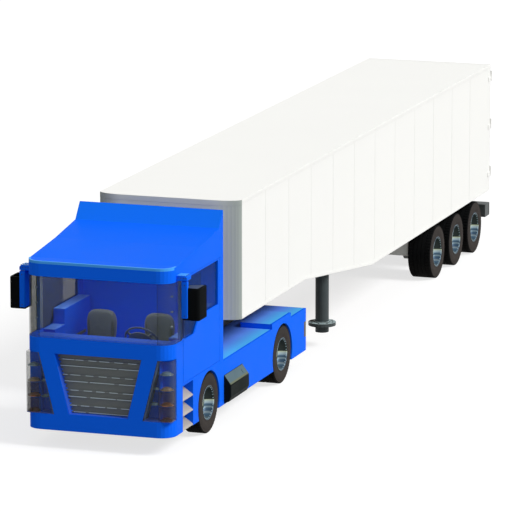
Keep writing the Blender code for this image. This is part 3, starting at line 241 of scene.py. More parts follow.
# pale studs on the rims and pillars, there to show as glints: a painted highlight
GLINT_STUD = finish("rim_stud", linear(190, 215, 225), 0.25, metallic=0.2, coat=0.3)
DISC = finish("wheel_disc", linear(84, 98, 95), 0.45, metallic=0.3, specular=0.2, vary=0.12,
              broad=7, bump=0.1)
STEEL = finish("bare_steel", linear(165, 168, 168), 0.35, metallic=0.9, vary=0.1, grain=150)
CHASSIS = finish("chassis_paint", FRAME_GREY, 0.5, dust=0.25, **FRAME)
LEG_PAINT = finish("leg_paint", FRAME_GREY, 0.5, dust=0.1, **FRAME)
IRON = finish("cast_iron", linear(86, 88, 88), 0.6, metallic=0.4, vary=0.15, broad=5, grain=160,
              bump=0.4, dust=0.3, dust_top=0.9, soft=0.008)
TANK = finish("tank_paint", linear(25, 30, 29), 0.45, specular=0.01, **TANK_METAL)
# The tank's top flat is painted far lighter than its dark shell: a painted reflection.
TANK_TOP = finish("tank_top", linear(89, 109, 115), 0.45, specular=0.02, **TANK_METAL)
BLADES = finish("step_metal", linear(178, 171, 165), 0.5, metallic=0.05, vary=0.06, broad=6,
                grain=200, bump=0.15, dust=0.15)
WHITE = finish("trailer_white", (0.93, 0.93, 0.90), 0.5, specular=0.1, vary=0.008, broad=0.5,
               grain=120, bump=0.02, dust=0.03, dust_top=1.6, soft=0.008)
GREY = finish("trailer_grey", linear(244, 250, 247), 0.55, **FRONT_WALL)
# The front wall's warm near-white fades to a dark grey towards its corners, on the nose band as
# well: painted shade.
NOSE = finish("trailer_nose", (0.95, 0.98, 0.84), 0.55, soft=0.008,
              edge=(0.80, 1.262, (0.36, 0.40, 0.375)), **FRONT_WALL)
BEAM = finish("bumper_paint", linear(70, 76, 78), 0.5, specular=0.2, vary=0.1, broad=3,
              grain=120, bump=0.1, dust=0.3, dust_top=1.2, soft=0.012)
FLOOR_WOOD = finish("load_floor", linear(122, 92, 66), 0.7, vary=0.18, broad=3, grain=40,
                    bump=0.3, stretch=(1, 0.08, 1))
SEAL = finish("door_seal", linear(30, 30, 30), 0.8, vary=0.1, grain=200, bump=0.3)
SEAT = finish("seat_cloth", linear(104, 112, 112), 0.9, vary=0.12, broad=10, grain=700,
              bump=0.6, sheen=0.4)
SEAT_TRIM = finish("seat_bolster", linear(78, 84, 84), 0.85, vary=0.1, broad=10, grain=600,
                   bump=0.5, sheen=0.3)
WHEEL_GREY = finish("steering_grey", linear(138, 148, 152), 0.6, specular=0.2, vary=0.06,
                    grain=400, bump=0.2)
HUB_GREY = finish("steering_pad", linear(150, 160, 160), 0.7, specular=0.1, vary=0.06,
                  grain=400, bump=0.2)
# the light blue on the door sills stands in for sunlight on them: painted light
SILL_HIGHLIGHT = finish("sill_trim", (0.15, 0.36, 1.0), 0.5, specular=0.05, vary=0.03, grain=200)
REFLEX_RED = finish("red_reflector", linear(170, 24, 20), 0.2, coat=0.6, vary=0.1, grain=500,
                    bump=0.5)
MARKER = finish("side_marker", linear(78, 71, 64), 0.4, coat=0.05, specular=0.1, vary=0.1,
                grain=200, bump=0.2)

TANK_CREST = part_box("fuel_tank_left")[1][2]
PILLAR = (("place", "Y", -8.84, -8.712), ("place", "Z", 1.84, 2.81))
PILLAR_FRONT = (("place", "Y", -8.845, -8.70), PILLAR[1], ("facing", "Y", -1.0, -0.6))
ZONES = [
    # a painted highlight along the visor's top edge, and the roof's forward-facing rise above the
    # windscreen painted lighter: painted light over its shade
    (ROOF_PAINT, HIGHLIGHT_BLUE, ("place", "Z", 3.026, 3.075), ("facing", "Y", -1.0, -0.25)),
    # the roof's forward-facing rise painted a lighter blue: painted light over its shade
    (ROOF_PAINT, (0.0085, 0.190, 1.0), ("place", "Z", 3.30, 3.60), ("facing", "Y", -1.0, -0.5)),
    # faces of the deck that don't face up keep the plain cab blue; only its top takes the painted
    # light
    (DECK, BLUE, ("facing", "Z", -1.0, 0.5)),
    # tops of the landing legs' feet and their bolts painted light grey: painted light under the
    # trailer's shade
    (LEG_PAINT, linear(168, 186, 188), ("place", "Z", 0.2, 0.6), ("facing", "Z", 0.6, 1.0)),
    # a beige line along the lower edge of the tank's top flat: a painted highlight
    (TANK_TOP, linear(104, 110, 90), ("place", "Z", TANK_CREST - 0.170, TANK_CREST - 0.134)),
]
for pillar_paint in (SIDE_PAINT, DOOR_PAINT):
    # grey window pillars, dark on their outer faces; their forward-facing edges are painted a
    # light blue: painted light over the shade they stand in
    ZONES += [(pillar_paint, linear(150, 160, 162), *PILLAR),
              (pillar_paint, (0.12, 0.45, 1.0), *PILLAR_FRONT)]
    ZONES += [(pillar_paint, linear(34, 56, 116), *PILLAR,
               ("place", "X", outer - 0.004, outer + 0.004)) for outer in (1.25, -1.25)]
for zone in ZONES:
    paint_zone(*zone)

NODE_LOOKS = {
    ROOF_PAINT: "cab_roof",
    SIDE_PAINT: "cab_side_left cab_side_right",
    DOOR_PAINT: "cab_door_left cab_door_right",
    PAINT: "cab_front_panel cab_rear_wall side_fairing_left side_fairing_right",
    DECK: "deck_panel",
    TRIM_BLUE: "cab_floor",
    GLASS: "windscreen",
    DOOR_GLASS: "door_glass_left door_glass_right",
    CHASSIS: "chassis_frame trailer_coupler",
    LEG_PAINT: "landing_gear",
    IRON: "engine_block front_axle knuckle_left knuckle_right rear_axle fifth_wheel",
    WHITE: "trailer_side_left trailer_side_right trailer_roof trailer_rear_frame "
           "trailer_door_left trailer_door_right",
    GREY: "bogie_frame",
    NOSE: "trailer_front_wall",
    BEAM: "rear_bumper",
    FLOOR_WOOD: "trailer_floor",
}


def dress_nodes():
    """Gives the CAD nodes their materials."""
    for material, names in NODE_LOOKS.items():
        for name in names.split():
            for place in NODES[name].material_slots:
                place.material = material


# -------------------------------- making pieces
UP = Vector((0, 0, 1))
BEVEL_ANGLE = math.radians(35)
PRISM_ORDER = {"X": (2, 0, 1), "Y": (0, 2, 1), "Z": (0, 1, 2)}


def add_object(name, data, place=(0, 0, 0), turn=(0, 0, 0)):
    made = bpy.data.objects.new(name, data)
    made.location = place
    made.rotation_euler = turn
    bpy.context.scene.collection.objects.link(made)
    return made


def about(middle, half):
    """The two ends of a length given by its middle and half of it."""
    return middle - half, middle + half


def set_look(made, look):
    for face in {face for vert in made["verts"] for face in vert.link_faces}:
        face.material_index = look


class Shape:
    """The mesh of a piece in the making; sign -1 puts what is added on the right-hand side."""

    def __init__(self, sign=1):
        self.mesh = bmesh.new()
        self.sign = sign

    def place(self, point):
        return self.mesh.verts.new((self.sign * point[0], point[1], point[2]))

    def box(self, xs, ys, zs, look=0, mirrored=False):
        """A box from its two ends on each axis; a mirrored one is inside out on the right."""
        xs = [self.sign * x for x in xs]
        low, high = (Vector(map(pick, (xs, ys, zs))) for pick in (min, max))
        size = high - low
        if mirrored:
            size.x *= self.sign
        place = Matrix.Translation((low + high) / 2) @ Matrix.Diagonal((*size, 1))
        set_look(bmesh.ops.create_cube(self.mesh, size=1.0, matrix=place), look)

    def rod(self, start, end, radius, sides=16, end_radius=None, look=0):
        start, end = (Vector((self.sign * x, y, z)) for x, y, z in (start, end))
        turn = UP.rotation_difference(end - start).to_matrix().to_4x4()
        set_look(bmesh.ops.create_cone(
            self.mesh, cap_ends=True, segments=sides, radius1=radius,
            radius2=radius if end_radius is None else end_radius, depth=(end - start).length,
            matrix=Matrix.Translation((start + end) / 2) @ turn), look)

    def loft(self, rings, closed_ends=True, look=0):
        """Skins a list of point rings that have the same number of points."""
        rows = [[self.place(point) for point in ring] for ring in rings]
        made = [self.mesh.faces.new(corners) for row, after in zip(rows, rows[1:])
                for corners in zip(row, row[1:] + row[:1], after[1:] + after[:1], after)]
        if closed_ends:
            made += [self.mesh.faces.new(ends) for ends in (rows[0][::-1], rows[-1])]
        for face in made:
            face.material_index = look

    def prism(self, outline, axis, low, high, look=0):
        """An outline carried along an axis; its points are on the two others."""
        order = PRISM_ORDER[axis]
        self.loft([[[(u, v, w)[i] for i in order] for u, v in outline] for w in (low, high)],
                  look=look)

    def turned(self, profile, centre, outward, segments, look=0):
        """A profile of (radius, distance out) turned round X; outward is 1 or -1."""
        self.loft([[(centre[0] + outward * out, y, z)
                    for y, z in circle(centre[1:], radius, segments)]
                   for radius, out in profile], closed_ends=False, look=look)

    def tidy(self):
        bmesh.ops.remove_doubles(self.mesh, verts=self.mesh.verts, dist=0.00005)
        bmesh.ops.recalc_face_normals(self.mesh, faces=self.mesh.faces)
        return self

    def piece(self, name, material, body, slot, replaces=(), smooth=35, bevel=0.0, more=()):
        """Ends the shape as a piece that rides on a body."""
        mesh = bpy.data.meshes.new(name)
        self.mesh.to_mesh(mesh)
        self.mesh.free()
        for look in (material, *more):
            mesh.materials.append(look)
        mesh.shade_smooth()
        mesh.set_sharp_from_angle(angle=math.radians(smooth))
        made = add_object(name, mesh)
        if bevel:
            edge = made.modifiers.new("soft_edges", "BEVEL")
            edge.width = bevel
            edge.segments = 2
            edge.limit_method = "ANGLE"
            edge.angle_limit = BEVEL_ANGLE
        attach(made, body)
        if replaces:
            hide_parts(*replaces)
        return made


def circle(centre, radius, count, offset=0.0):
    """Points round a circle, offset by a share of their pitch."""
    turns = (math.tau * (i + offset) / count for i in range(count))
    return [(centre[0] + radius * math.cos(a), centre[1] + radius * math.sin(a)) for a in turns]


def arc(x, y, radius, start, end, steps, radius_y=None):
    """Points on an arc about (x, y), from one angle in degrees to another."""
    turns = (math.radians(start + (end - start) * step / steps) for step in range(steps + 1))
    return [(x + radius * math.cos(a), y + (radius_y or radius) * math.sin(a)) for a in turns]


def rounded(width, height, radius, steps=5):
    """Outline of a rounded rectangle about the origin, anticlockwise."""
    points = []
    for index, (sx, sy) in enumerate(((1, -1), (1, 1), (-1, 1), (-1, -1))):
        points += arc(sx * (width / 2 - radius), sy * (height / 2 - radius), radius,
                      90 * index - 90, 90 * index, steps)
    return points


def side_box(node):
    """A side node's box: distances from the middle plane, then its ends along Y and Z."""
    low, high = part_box(node)
    return (*sorted((abs(low[0]), abs(high[0]))), low[1], high[1], low[2], high[2])


def centre_of(node):
    """The middle of a node's box."""
    low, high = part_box(node)
    return tuple((a + b) / 2 for a, b in zip(low, high))


# -------------------------------- wheels
TREAD_SEGMENTS = 216
TREAD_DEPTH = 0.014
NOTCH_DEPTH = TREAD_DEPTH * 0.7
NOTCH_EVERY = 4
GROOVES = (-0.55, -0.19, 0.19, 0.55)        # places across the half width
GROOVE_W = 0.006
RIM_R = 0.287
SHOULDER = (0.018, 0.013)                   # down from the tread, in from the side
BEAD_STEPS = ((0.0, 0), (0.012, 0), (0.018, 0.003), (0.030, 0.003), (0.036, 0))
WALL_STEPS = ((0.03, 0), (0.024, 0.003), (0.014, 0.003), (0.008, 0))


def tyre_profile(width, radius):
    """(radius, out, kind) from the inner edge across the tread; kind 1 takes the lug notches."""
    half = width / 2
    side, crown = radius - SHOULDER[0], half - SHOULDER[1]
    edge = [(RIM_R + up, raised - half, 0) for up, raised in BEAD_STEPS]
    edge += [(side - down, raised - half, 0) for down, raised in WALL_STEPS]
    edge += [(side, -half, 1), ((side + radius) / 2, SHOULDER[1] * 0.35 - half, 1),
             (radius, -crown, 1)]
    grooves = []
    for place in GROOVES:
        outer = int(abs(place) == max(GROOVES))
        before, after = (outer, 0) if place < 0 else (0, outer)
        for share, deep, kind in ((-1, 0, before), (-0.6, TREAD_DEPTH, 0),
                                  (0.6, TREAD_DEPTH, 0), (1, 0, after)):
            grooves.append((radius - deep, place * crown + share * GROOVE_W, kind))
    return edge + grooves + [(r, -out, kind) for r, out, kind in reversed(edge)]


def add_tyre(shape, centre, width, radius):
    """A tyre round X with grooves and lug notches; its tread has look 1."""
    rings = []
    for r, out, kind in tyre_profile(width, radius):
        ring = []
        for i in range(TREAD_SEGMENTS):
            at = r - NOTCH_DEPTH if kind and i % NOTCH_EVERY == 0 else r
            angle = math.tau * (i + 0.5) / TREAD_SEGMENTS
            ring.append((centre[0] + out, centre[1] + at * math.cos(angle),
                         centre[2] + at * math.sin(angle)))
        rings.append(ring)
    shape.loft(rings + rings[:1], closed_ends=False)
    for face in shape.tidy().mesh.faces:
        place = face.calc_center_median()
        distance = math.hypot(place.y - centre[1], place.z - centre[2])
        face.material_index = int(distance > radius - SHOULDER[0] - 0.002)


RIM_STEPS = ((0.287, 0.0), (0.281, 0.002), (0.276, -0.003), (0.2725, -0.018), (0.267, -0.040),
             (0.260, -0.065), (0.250, -0.092), (0.237, -0.118), (0.222, -0.140), (0.214, -0.148))
DISC_STEPS = ((0.214, -0.148), (0.205, -0.151), (0.160, -0.151), (0.150, -0.149),
              (0.112, -0.149), (0.104, -0.141), (0.098, -0.122), (0.070, -0.112),
              (0.064, -0.094), (0.030, -0.086), (0.0, -0.085))
NUTS = 10
NUT_CIRCLE = 0.131
NUT_PARTS = (
    # circle, share of the pitch, from and to inside the face, radius, sides, look
    (NUT_CIRCLE, 0.0, 0.152, 0.128, 0.0135, 6, 0),
    (NUT_CIRCLE, 0.0, 0.130, 0.118, 0.007, 8, 0),
    (0.184, 0.5, 0.160, 0.1495, 0.017, 16, 2),
)
RIM_STUDS = 30
RIM_STUD_PLACE = (0.2675, -0.012)           # radius, distance out
RIM_STUD_H = 0.007


def build_wheel(node, tyre_widths):
    """Tyres from the outer face inwards, and a dished rim with its disc, nuts and pale studs that
    show as glints, a painted highlight.
    """
    low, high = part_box(node)
    outward = 1 if centre_of(node)[0] > 0 else -1
    face = high[0] if outward > 0 else low[0]
    hub = (face, *centre_of(node)[1:])
    depth = high[0] - low[0]
    gap = (depth - sum(tyre_widths)) / max(1, len(tyre_widths) - 1)
    inner = 0.0
    for index, width in enumerate(tyre_widths):
        shape = Shape()
        add_tyre(shape, (face - outward * (inner + width / 2), *hub[1:]), width,
                 (high[2] - low[2]) / 2)
        shape.piece("%s_tyre_%d" % (node, index), RUBBER, node, "tyre", replaces=(node,),
                    smooth=30, more=(TREAD,))
        inner += width + gap
    rim = Shape()
    barrel = ((RIM_R, -depth), (0.262, -depth + 0.02), (0.250, -depth + 0.04), (0.236, -0.21),
              (0.214, -0.17), (0.0505, -0.17))
    outside = ((RIM_R, -depth), (RIM_R + 0.0015, -depth * 0.5), (RIM_R, 0.0))
    for profile, segments, look in ((RIM_STEPS, 96, 0), (barrel, 64, 1), (outside, 96, 0),
                                    (DISC_STEPS, 64, 1)):
        rim.turned(profile, hub, outward, segments, look)
    rim.tidy()
    for i in range(NUTS):
        for ring, offset, start, end, radius, sides, look in NUT_PARTS:
            y, z = circle(hub[1:], ring, NUTS, offset)[i]
            rim.rod((face - outward * start, y, z), (face - outward * end, y, z), radius,
                    sides, look=look)
    r, out = RIM_STUD_PLACE
    for foot, tip in zip(*(circle(hub[1:], at, RIM_STUDS, 0.5) for at in (r, r - RIM_STUD_H))):
        x = face + outward * out
        rim.rod((x, *foot), (x, *tip), 0.008, 8, look=3)
    rim.piece(node + "_rim", PAINTED_REFLECTION_STEEL, node, "tyre", replaces=(node,), smooth=40,
              more=(DISC, SEAL, GLINT_STUD))


# -------------------------------- front of the cab
GRILLE_TAPER = 0.2411
GRILLE_LAP = 0.03
GRILLE_T = 0.012
GRILLE_SLATS = 48
GRILLE_TEETH = 16
GRILLE_FIRST = 0.133
GRILLE_ROW = 0.2505
GRILLE_PAIR = 0.105
GRILLE_GLINT_DASHES = (
    # start and end of each pale dash along a ledge's edge, a painted highlight, -1 left to 1
    # right, for each ledge from the top
    ((-0.90, -0.62), (-0.59, -0.40), (-0.28, -0.09), (-0.02, 0.22), (0.34, 0.55), (0.67, 0.87)),
    ((-1.00, 0.41), (0.46, 0.97)),
    ((-0.98, -0.86), (-0.78, -0.52), (-0.38, -0.18), (-0.04, 0.17), (0.30, 0.51), (0.65, 0.86)),
    ((-0.97, -0.34), (-0.28, 0.38), (0.51, 1.00)),
    ((-0.86, -0.63), (-0.48, -0.24), (-0.12, 0.12), (0.26, 0.50), (0.65, 1.00)),
    ((-0.96, -0.42), (-0.30, 0.46), (0.50, 1.00)),
    ((-0.99, -0.76), (-0.63, -0.36), (-0.19, 0.15), (0.22, 0.52), (0.66, 0.92)),
    ((-0.90, -0.50), (-0.39, 1.00)),
)


def build_grille():
    """Louvred trapezoid: dark back, ledges in pairs, and pale broken lines on the ledges' edges:
    painted highlights.
    """
    (_, _, z0), (top_half, back, z1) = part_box("grille")
    plate = back - GRILLE_T
    foot_half = top_half - GRILLE_TAPER * (z1 - z0)
    shape = Shape()
    shape.prism([(-foot_half, z0), (foot_half, z0), (top_half, z1), (-top_half, z1)], "Y",
                plate, back)

    def ledge(z, inset, steps):
        """A bar across the grille; each step is (out from the plate, up from z)."""
        half = foot_half + GRILLE_TAPER * (z - z0) - GRILLE_LAP - inset
        shape.prism([(plate - out, z + up) for out, up in steps], "X", -half, half)
        return half

    rise = (z1 - z0 - 2 * GRILLE_LAP) / GRILLE_SLATS
    for i in range(GRILLE_SLATS):
        ledge(z0 + GRILLE_LAP + rise * (i + 0.5), 0.006,
              ((0, -rise * 0.35), (0.005, -rise * 0.05), (0.005, rise * 0.1), (0, rise * 0.35)))
    for i, dashes in enumerate(GRILLE_GLINT_DASHES):
        pair, second = divmod(i, 2)
        z = z1 - GRILLE_FIRST - GRILLE_ROW * pair - GRILLE_PAIR * second
        half = ledge(z, 0.004, ((0, -0.022), (0.026, -0.006), (0.026, 0.004), (0, 0.012)))
        for start, end in dashes:
            shape.box((half * start, half * end), about(plate - 0.027, 0.002),
                      (z - 0.005, z + 0.006), look=1)
    rail = [(foot_half - 0.034, z0 + GRILLE_LAP), (foot_half - 0.020, z0 + GRILLE_LAP),
            (top_half - 0.020, z1 - GRILLE_LAP), (top_half - 0.034, z1 - GRILLE_LAP)]
    for shape.sign in (-1, 1):
        shape.prism(rail, "Y", plate - GRILLE_T, plate)
    shape.piece("grille_louvres", GRILLE, "tractor", "grille", replaces=("grille",),
                smooth=30, more=(GRILLE_GLINT,))


def build_grille_frame():
    """Light lining on the sides and the foot of the grille's opening."""
    (_, _, low), (half, back, high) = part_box("grille")
    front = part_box("cab_front_panel")[0][1] + 0.012
    back -= GRILLE_T
    top_half = half - GRILLE_LAP * 1.03
    foot_half = top_half - GRILLE_TAPER * (high - low)
    z0, z1 = low + GRILLE_LAP, high - GRILLE_LAP
    lining = Shape()
    for lining.sign in (-1, 1):
        lining.prism([(foot_half, z0), (top_half, z1), (top_half - 0.004, z1),
                      (foot_half - 0.004, z0)], "Y", front, back)
        for i in range(GRILLE_TEETH):
            share = (i + 0.5) / GRILLE_TEETH
            x = foot_half + (top_half - foot_half) * share
            tooth = [(x, back), (x - 0.030, back), (x - 0.004, back - 0.045), (x, back - 0.045)]
            lining.prism(tooth, "Z", *about(z0 + (z1 - z0) * share, 0.012))
    lining.prism([(-foot_half, z0), (foot_half, z0), (foot_half, z0 + 0.004),
                  (-foot_half, z0 + 0.004)], "Y", front, back)
    lining.tidy().piece("grille_frame", LINING, "tractor", "grille", smooth=30)


LAMP_LEAN = 0.256
LAMP_CORNER = 0.06
LAMP_SKIN = 0.006
LAMP_WALL_T = 0.02
LAMP_DIVIDE = 0.812
LAMP_DISC_RISE = 0.012
LAMP_BAND_INSET = 0.016


def build_lamp(side, sign):
    """Clear wrap-round lens over a stacked column of four cells and a tapering inner one."""
    node = "lamp_" + side
    inner, outer, front, rear, z0, z1 = side_box(node)
    back = rear - LAMP_WALL_T
    middle_y = (front + back) / 2
    divider = LAMP_DIVIDE * outer

    def put(name, shape, look, smooth=40, **extra):
        shape.piece(name, look, "tractor", "lens", smooth=smooth, replaces=(node,), **extra)

    def edge(z):
        return inner + LAMP_LEAN * (z - z0) / (z1 - z0)

    def bend(inset, steps):
        """The outer front corner in plan, pulled in by inset."""
        return arc(outer - LAMP_CORNER, front + LAMP_CORNER, LAMP_CORNER - inset, -90, 0, steps)

    def ring(z, inset):
        """Plan section of the lens at a height, pulled in by inset."""
        points = [(edge(z) + inset, rear), (edge(z) + inset, front + inset), *bend(inset, 6),
                  (outer - inset, rear)]
        return [(x, y, z) for x, y in points]

    lens = Shape(sign)
    lens.loft([ring(z, 0.0) + ring(z, LAMP_SKIN)[::-1]
               for z in (z0 + (z1 - z0) * i / 8 for i in range(9))])
    put("lamp_lens_" + side, lens.tidy(), LENS_CLEAR)

    inside = Shape(sign)
    plate = [(edge(z0), z0), (outer, z0), (outer, z1), (edge(z1), z1)]
    inside.prism(plate, "Y", back, rear - 0.0005)
    wall = [(edge(z0) + 0.008, z0), (edge(z0) + 0.020, z0), (edge(z1) + 0.020, z1),
            (edge(z1) + 0.008, z1)]
    inside.prism(wall, "Y", front + 0.012, back, look=1)
    inside.box(about(divider, 0.006), (front + 0.10, back), (z0 + 0.01, z1 - 0.01))
    shelf = [(inner + 0.012, front + 0.012), (outer - 0.04, front + 0.012),
             (outer - 0.012, front + 0.04), (outer - 0.012, back), (inner + 0.012, back)]
    inside.prism(shelf, "Z", z0 + 0.002, z0 + 0.010, look=2)
    put("lamp_housing_" + side, inside.tidy(), PAINT, 30, more=(LAMP_WALL, LINING))

    def stack(shape, x, base, radius, sides, *steps):
        """Discs on one another; each step is (height, share of the radius, share at its top)."""
        for height, share, top_share in steps:
            shape.rod((x, middle_y, base), (x, middle_y, base + height), radius * share,
                      sides, end_radius=radius * top_share)
            base += height

    cells = ((BULB_CLEAR, None), (BULB_AMBER, None), (BULB_BROWN, LENS_AMBER),
             (BULB_RED, LENS_RED))
    pitch = (z1 - z0) / len(cells)
    for index, (bulb, tint) in enumerate(cells):
        foot = z1 - pitch * (index + 1)
        cell = Shape(sign)
        x, radius = (divider + outer) / 2, (outer - divider) / 2 - 0.006
        stack(cell, x, foot + LAMP_DISC_RISE, radius, 32, (0.010, 1, 1), (0.030, 0.72, 0.62))
        stack(cell, x, foot + LAMP_DISC_RISE + 0.040, radius, 20, (0.010, 0.30, 0.30))
        put("lamp_bulb_%s_%d" % (side, index), cell, bulb, bevel=0.003)
        if tint:
            band = Shape(sign)
            points = [(divider + 0.012, front + LAMP_BAND_INSET), *bend(LAMP_BAND_INSET, 4),
                      (outer - LAMP_BAND_INSET, back - 0.01)]
            points += [(x - LAMP_SKIN, y + LAMP_SKIN) for x, y in points[::-1]]
            band.prism(points, "Z", foot + 0.012, foot + pitch - 0.004)
            put("lamp_cell_%s_%d" % (side, index), band.tidy(), tint)
    small = Shape(sign)
    for index in range(3):
        base = z1 - pitch * (index + 1) + LAMP_DISC_RISE
        half = (divider - edge(base)) / 2
        stack(small, edge(base) + 0.010 + half, base,
              min(back - middle_y, half) - 0.014, 24, (0.008, 1, 1), (0.026, 0.66, 0.52))
    put("lamp_side_bulbs_" + side, small, BULB_CLEAR, bevel=0.003)


STEP_EDGES = (0.805, 0.557, 0.315)
STEP_RISE = 0.128
STEP_T = 0.018
STEP_RIBS = 7


def build_steps(side, sign):
    """Sloping treads with raised ribs on their back plate."""
    node = "entry_steps_" + side
    inner, outer, y0, y1, z0, z1 = side_box(node)
    plate = inner + 0.012
    shape = Shape(sign)
    shape.box((inner, plate), (y0, y1), (z0, z1), look=1)
    for edge in STEP_EDGES:
        section = [(outer, edge), (outer, edge + STEP_T * 0.6),
                   (outer - 0.012, edge + STEP_T * 1.3), (plate, edge + STEP_RISE + STEP_T),
                   (plate, edge + STEP_RISE)]
        shape.prism(section, "Y", y0, y1)
        for share in ((i + 1) / (STEP_RIBS + 1) for i in range(STEP_RIBS)):
            x = outer - 0.012 - share * (outer - inner - 0.03)
            z = edge + STEP_T * 1.3 + share * (STEP_RISE - STEP_T * 0.3)
            shape.box(about(x, 0.004), (y0 + 0.02, y1 - 0.02), (z - 0.002, z + 0.004))
    shape.tidy().piece("entry_treads_" + side, BLADES, "tractor", "steps",
                       replaces=(node,), smooth=25, more=(PAINT,))


MIRROR_X = (1.345, 1.43)                    # inner and outer face of the arm's post
MIRROR_ARM_DEPTH = 0.08
MIRROR_FOOT_DEPTH = 0.20
MIRROR_CASE_X = (1.345, 1.62)
MIRROR_CASE_H = 0.52
MIRROR_CASE_LEAN = 0.09
MIRROR_CORNER = 0.045


def build_mirror_arm(side, sign):
    """Blue hooked arm with its fixings."""
    node = "mirror_" + side
    foot, _, front, _, z0, top = side_box(node)
    arm_in, arm_out = MIRROR_X
    arm = Shape(sign)
    hook = [(foot, top - 0.085), (arm_in, top - 0.085), (arm_out, top - 0.085),
            (arm_out, top - 0.03), (arm_out - 0.03, top), (foot, top)]
    arm.prism(hook, "Y", front, front + MIRROR_FOOT_DEPTH)
    post = [(arm_in, top - 0.10), (arm_in, z0 + 0.035), (arm_out, z0 + 0.035),
            (arm_out, top - 0.10)]
    arm.prism(post, "Y", front, front + MIRROR_ARM_DEPTH)
    arm.tidy()
    # a light blue strip along the arm's top: a painted highlight
    arm.box((foot + 0.002, arm_out - 0.030),
            (front + 0.004, front + MIRROR_FOOT_DEPTH - 0.004), (top - 0.004, top + 0.0015),
            look=2, mirrored=True)
    arm.box((arm_in - 0.012, arm_in),
            (front + 0.002, front + MIRROR_FOOT_DEPTH + 0.06), (z0 + 0.035, top - 0.09))

    def stud(x, z, radius):
        arm.rod((x, front - 0.001, z), (x, front + 0.01, z), radius, 12, look=1)

    for share in (0.16, 0.42, 0.68, 0.90):
        x = foot + share * (arm_out - foot)
        stud(x, top - 0.040, 0.009)
        for y in (front + 0.04, front + 0.12):
            arm.rod((x, y, top - 0.005), (x, y, top + 0.003), 0.011, 12, look=1)
    for share in (0.03, 0.97):
        stud((arm_in + arm_out) / 2, z0 + 0.06 + share * (top - z0 - 0.20), 0.010)
    arm.piece("mirror_arm_" + side, PAINT, "tractor", "black", replaces=(node,), bevel=0.004,
              more=(SEAL, LIP_HIGHLIGHT))


def build_mirror_case(side, sign):
    """Black case with a sloping side and the glass on its rear face."""
    node = "mirror_" + side
    _, _, front, y1, z0, _ = side_box(node)
    x0, x1 = MIRROR_CASE_X
    y0, z1 = front + MIRROR_ARM_DEPTH * 0.5, z0 + MIRROR_CASE_H

    def rear(x, forward=0.0):
        """The point of the sloping rear face at x, moved forward."""
        return x, y1 - 0.004 - (x1 - x) * MIRROR_CASE_LEAN / (x1 - x0) - forward

    plan = [(x0, y0 + 0.008), (x0 + 0.008, y0),
            *arc(x1 - MIRROR_CORNER, y0 + MIRROR_CORNER, MIRROR_CORNER, -90, 0, 5),
            rear(x1, 0.012), rear(x1 - 0.008), rear(x0 + 0.008), rear(x0, 0.008)]
    mid_x, mid_y = (sum(values) / len(plan) for values in zip(*plan))
    case = Shape(sign)
    case.loft([[(mid_x + (x - mid_x) * shrink, mid_y + (y - mid_y) * shrink, z)
                for x, y in plan]
               for z, shrink in ((z0, 0.95), (z0 + 0.008, 0.99), (z0 + 0.018, 1.0),
                                 (z1 - 0.018, 1.0), (z1 - 0.008, 0.99), (z1, 0.95))])
    case.tidy()
    pane = [rear(x0 + 0.02, 0.006), rear(x1 - 0.02, 0.006), rear(x1 - 0.02, -0.001),
            rear(x0 + 0.02, -0.001)]
    # a grey plate over the black case's top: painted light on the top
    painted_light_top = [(x0 + 0.03, y0 + 0.04), (x1 - 0.04, y0 + 0.04), rear(x1 - 0.03, 0.03),
           rear(x0 + 0.03, 0.03)]
    for outline, start, end, look in ((pane, z0 + 0.02, z0 + 0.150, 1),
                                      (pane, z0 + 0.165, z1 - 0.02, 1),
                                      (painted_light_top, z1 - 0.002, z1 + 0.001, 2)):
        case.prism(outline, "Z", start, end, look)
    case.piece("mirror_case_" + side, BLACK, "tractor", "black", replaces=(node,), smooth=40,
               more=(MIRROR, CHASSIS))


TANK_RIM = 1.2503
TANK_DROP = 0.170
TANK_CAP_BACK = 0.17                        # from the tank's rear end


def build_tank(side, sign):
    """Tank with a broad sloping top flat, painted light as a painted reflection, and a filler cap.
    """
    node = "fuel_tank_" + side
    inner, outer, y0, y1, z0, z1 = side_box(node)
    section = [(inner, z0 + 0.045), (TANK_RIM, z0 + 0.045), (TANK_RIM, z0),
               (outer - 0.040, z0 + 0.030), (outer, z0 + 0.115), (outer, z1 - TANK_DROP),
               (TANK_RIM, z1), (TANK_RIM, z1 - 0.045), (inner, z1 - 0.045)]
    shell = Shape(sign)
    shell.prism(section, "Y", y0, y1)
    shell.tidy().piece("tank_shell_" + side, TANK, "tractor", "tank", smooth=25,
                       bevel=0.010, replaces=(node,))
    slope = Vector((outer - TANK_RIM, 0, -TANK_DROP))
    out = Vector((TANK_DROP, 0, outer - TANK_RIM)).normalized() * 0.0015

    def on_top(share, y, lift):
        return Vector((TANK_RIM, y, z1)) + slope * share + out * lift

    top = Shape(sign)
    corners = ((0.06, y0 + 0.012), (0.94, y0 + 0.012), (0.94, y1 - 0.012), (0.06, y1 - 0.012))
    top.loft([[on_top(*corner, lift) for corner in corners] for lift in (-1, 1)])
    top.tidy()
    top.rod(*(on_top(0.52, y1 - TANK_CAP_BACK, lift) for lift in (0, 6)), 0.034, 24)
    top.piece("tank_top_" + side, TANK_TOP, "tractor", "tank", bevel=0.0006, replaces=(node,))


# -------------------------------- inside the cab
def soft_block(name, rings, material, node):
    """A crowned closed form of a seat from a loft cage, subdivided."""
    shape = Shape()
    shape.loft(rings)
    made = shape.tidy().piece(name, material, "tractor", "seat", replaces=(node,), smooth=180)
    swell = made.modifiers.new("soft", "SUBSURF")
    swell.levels = swell.render_levels = 3


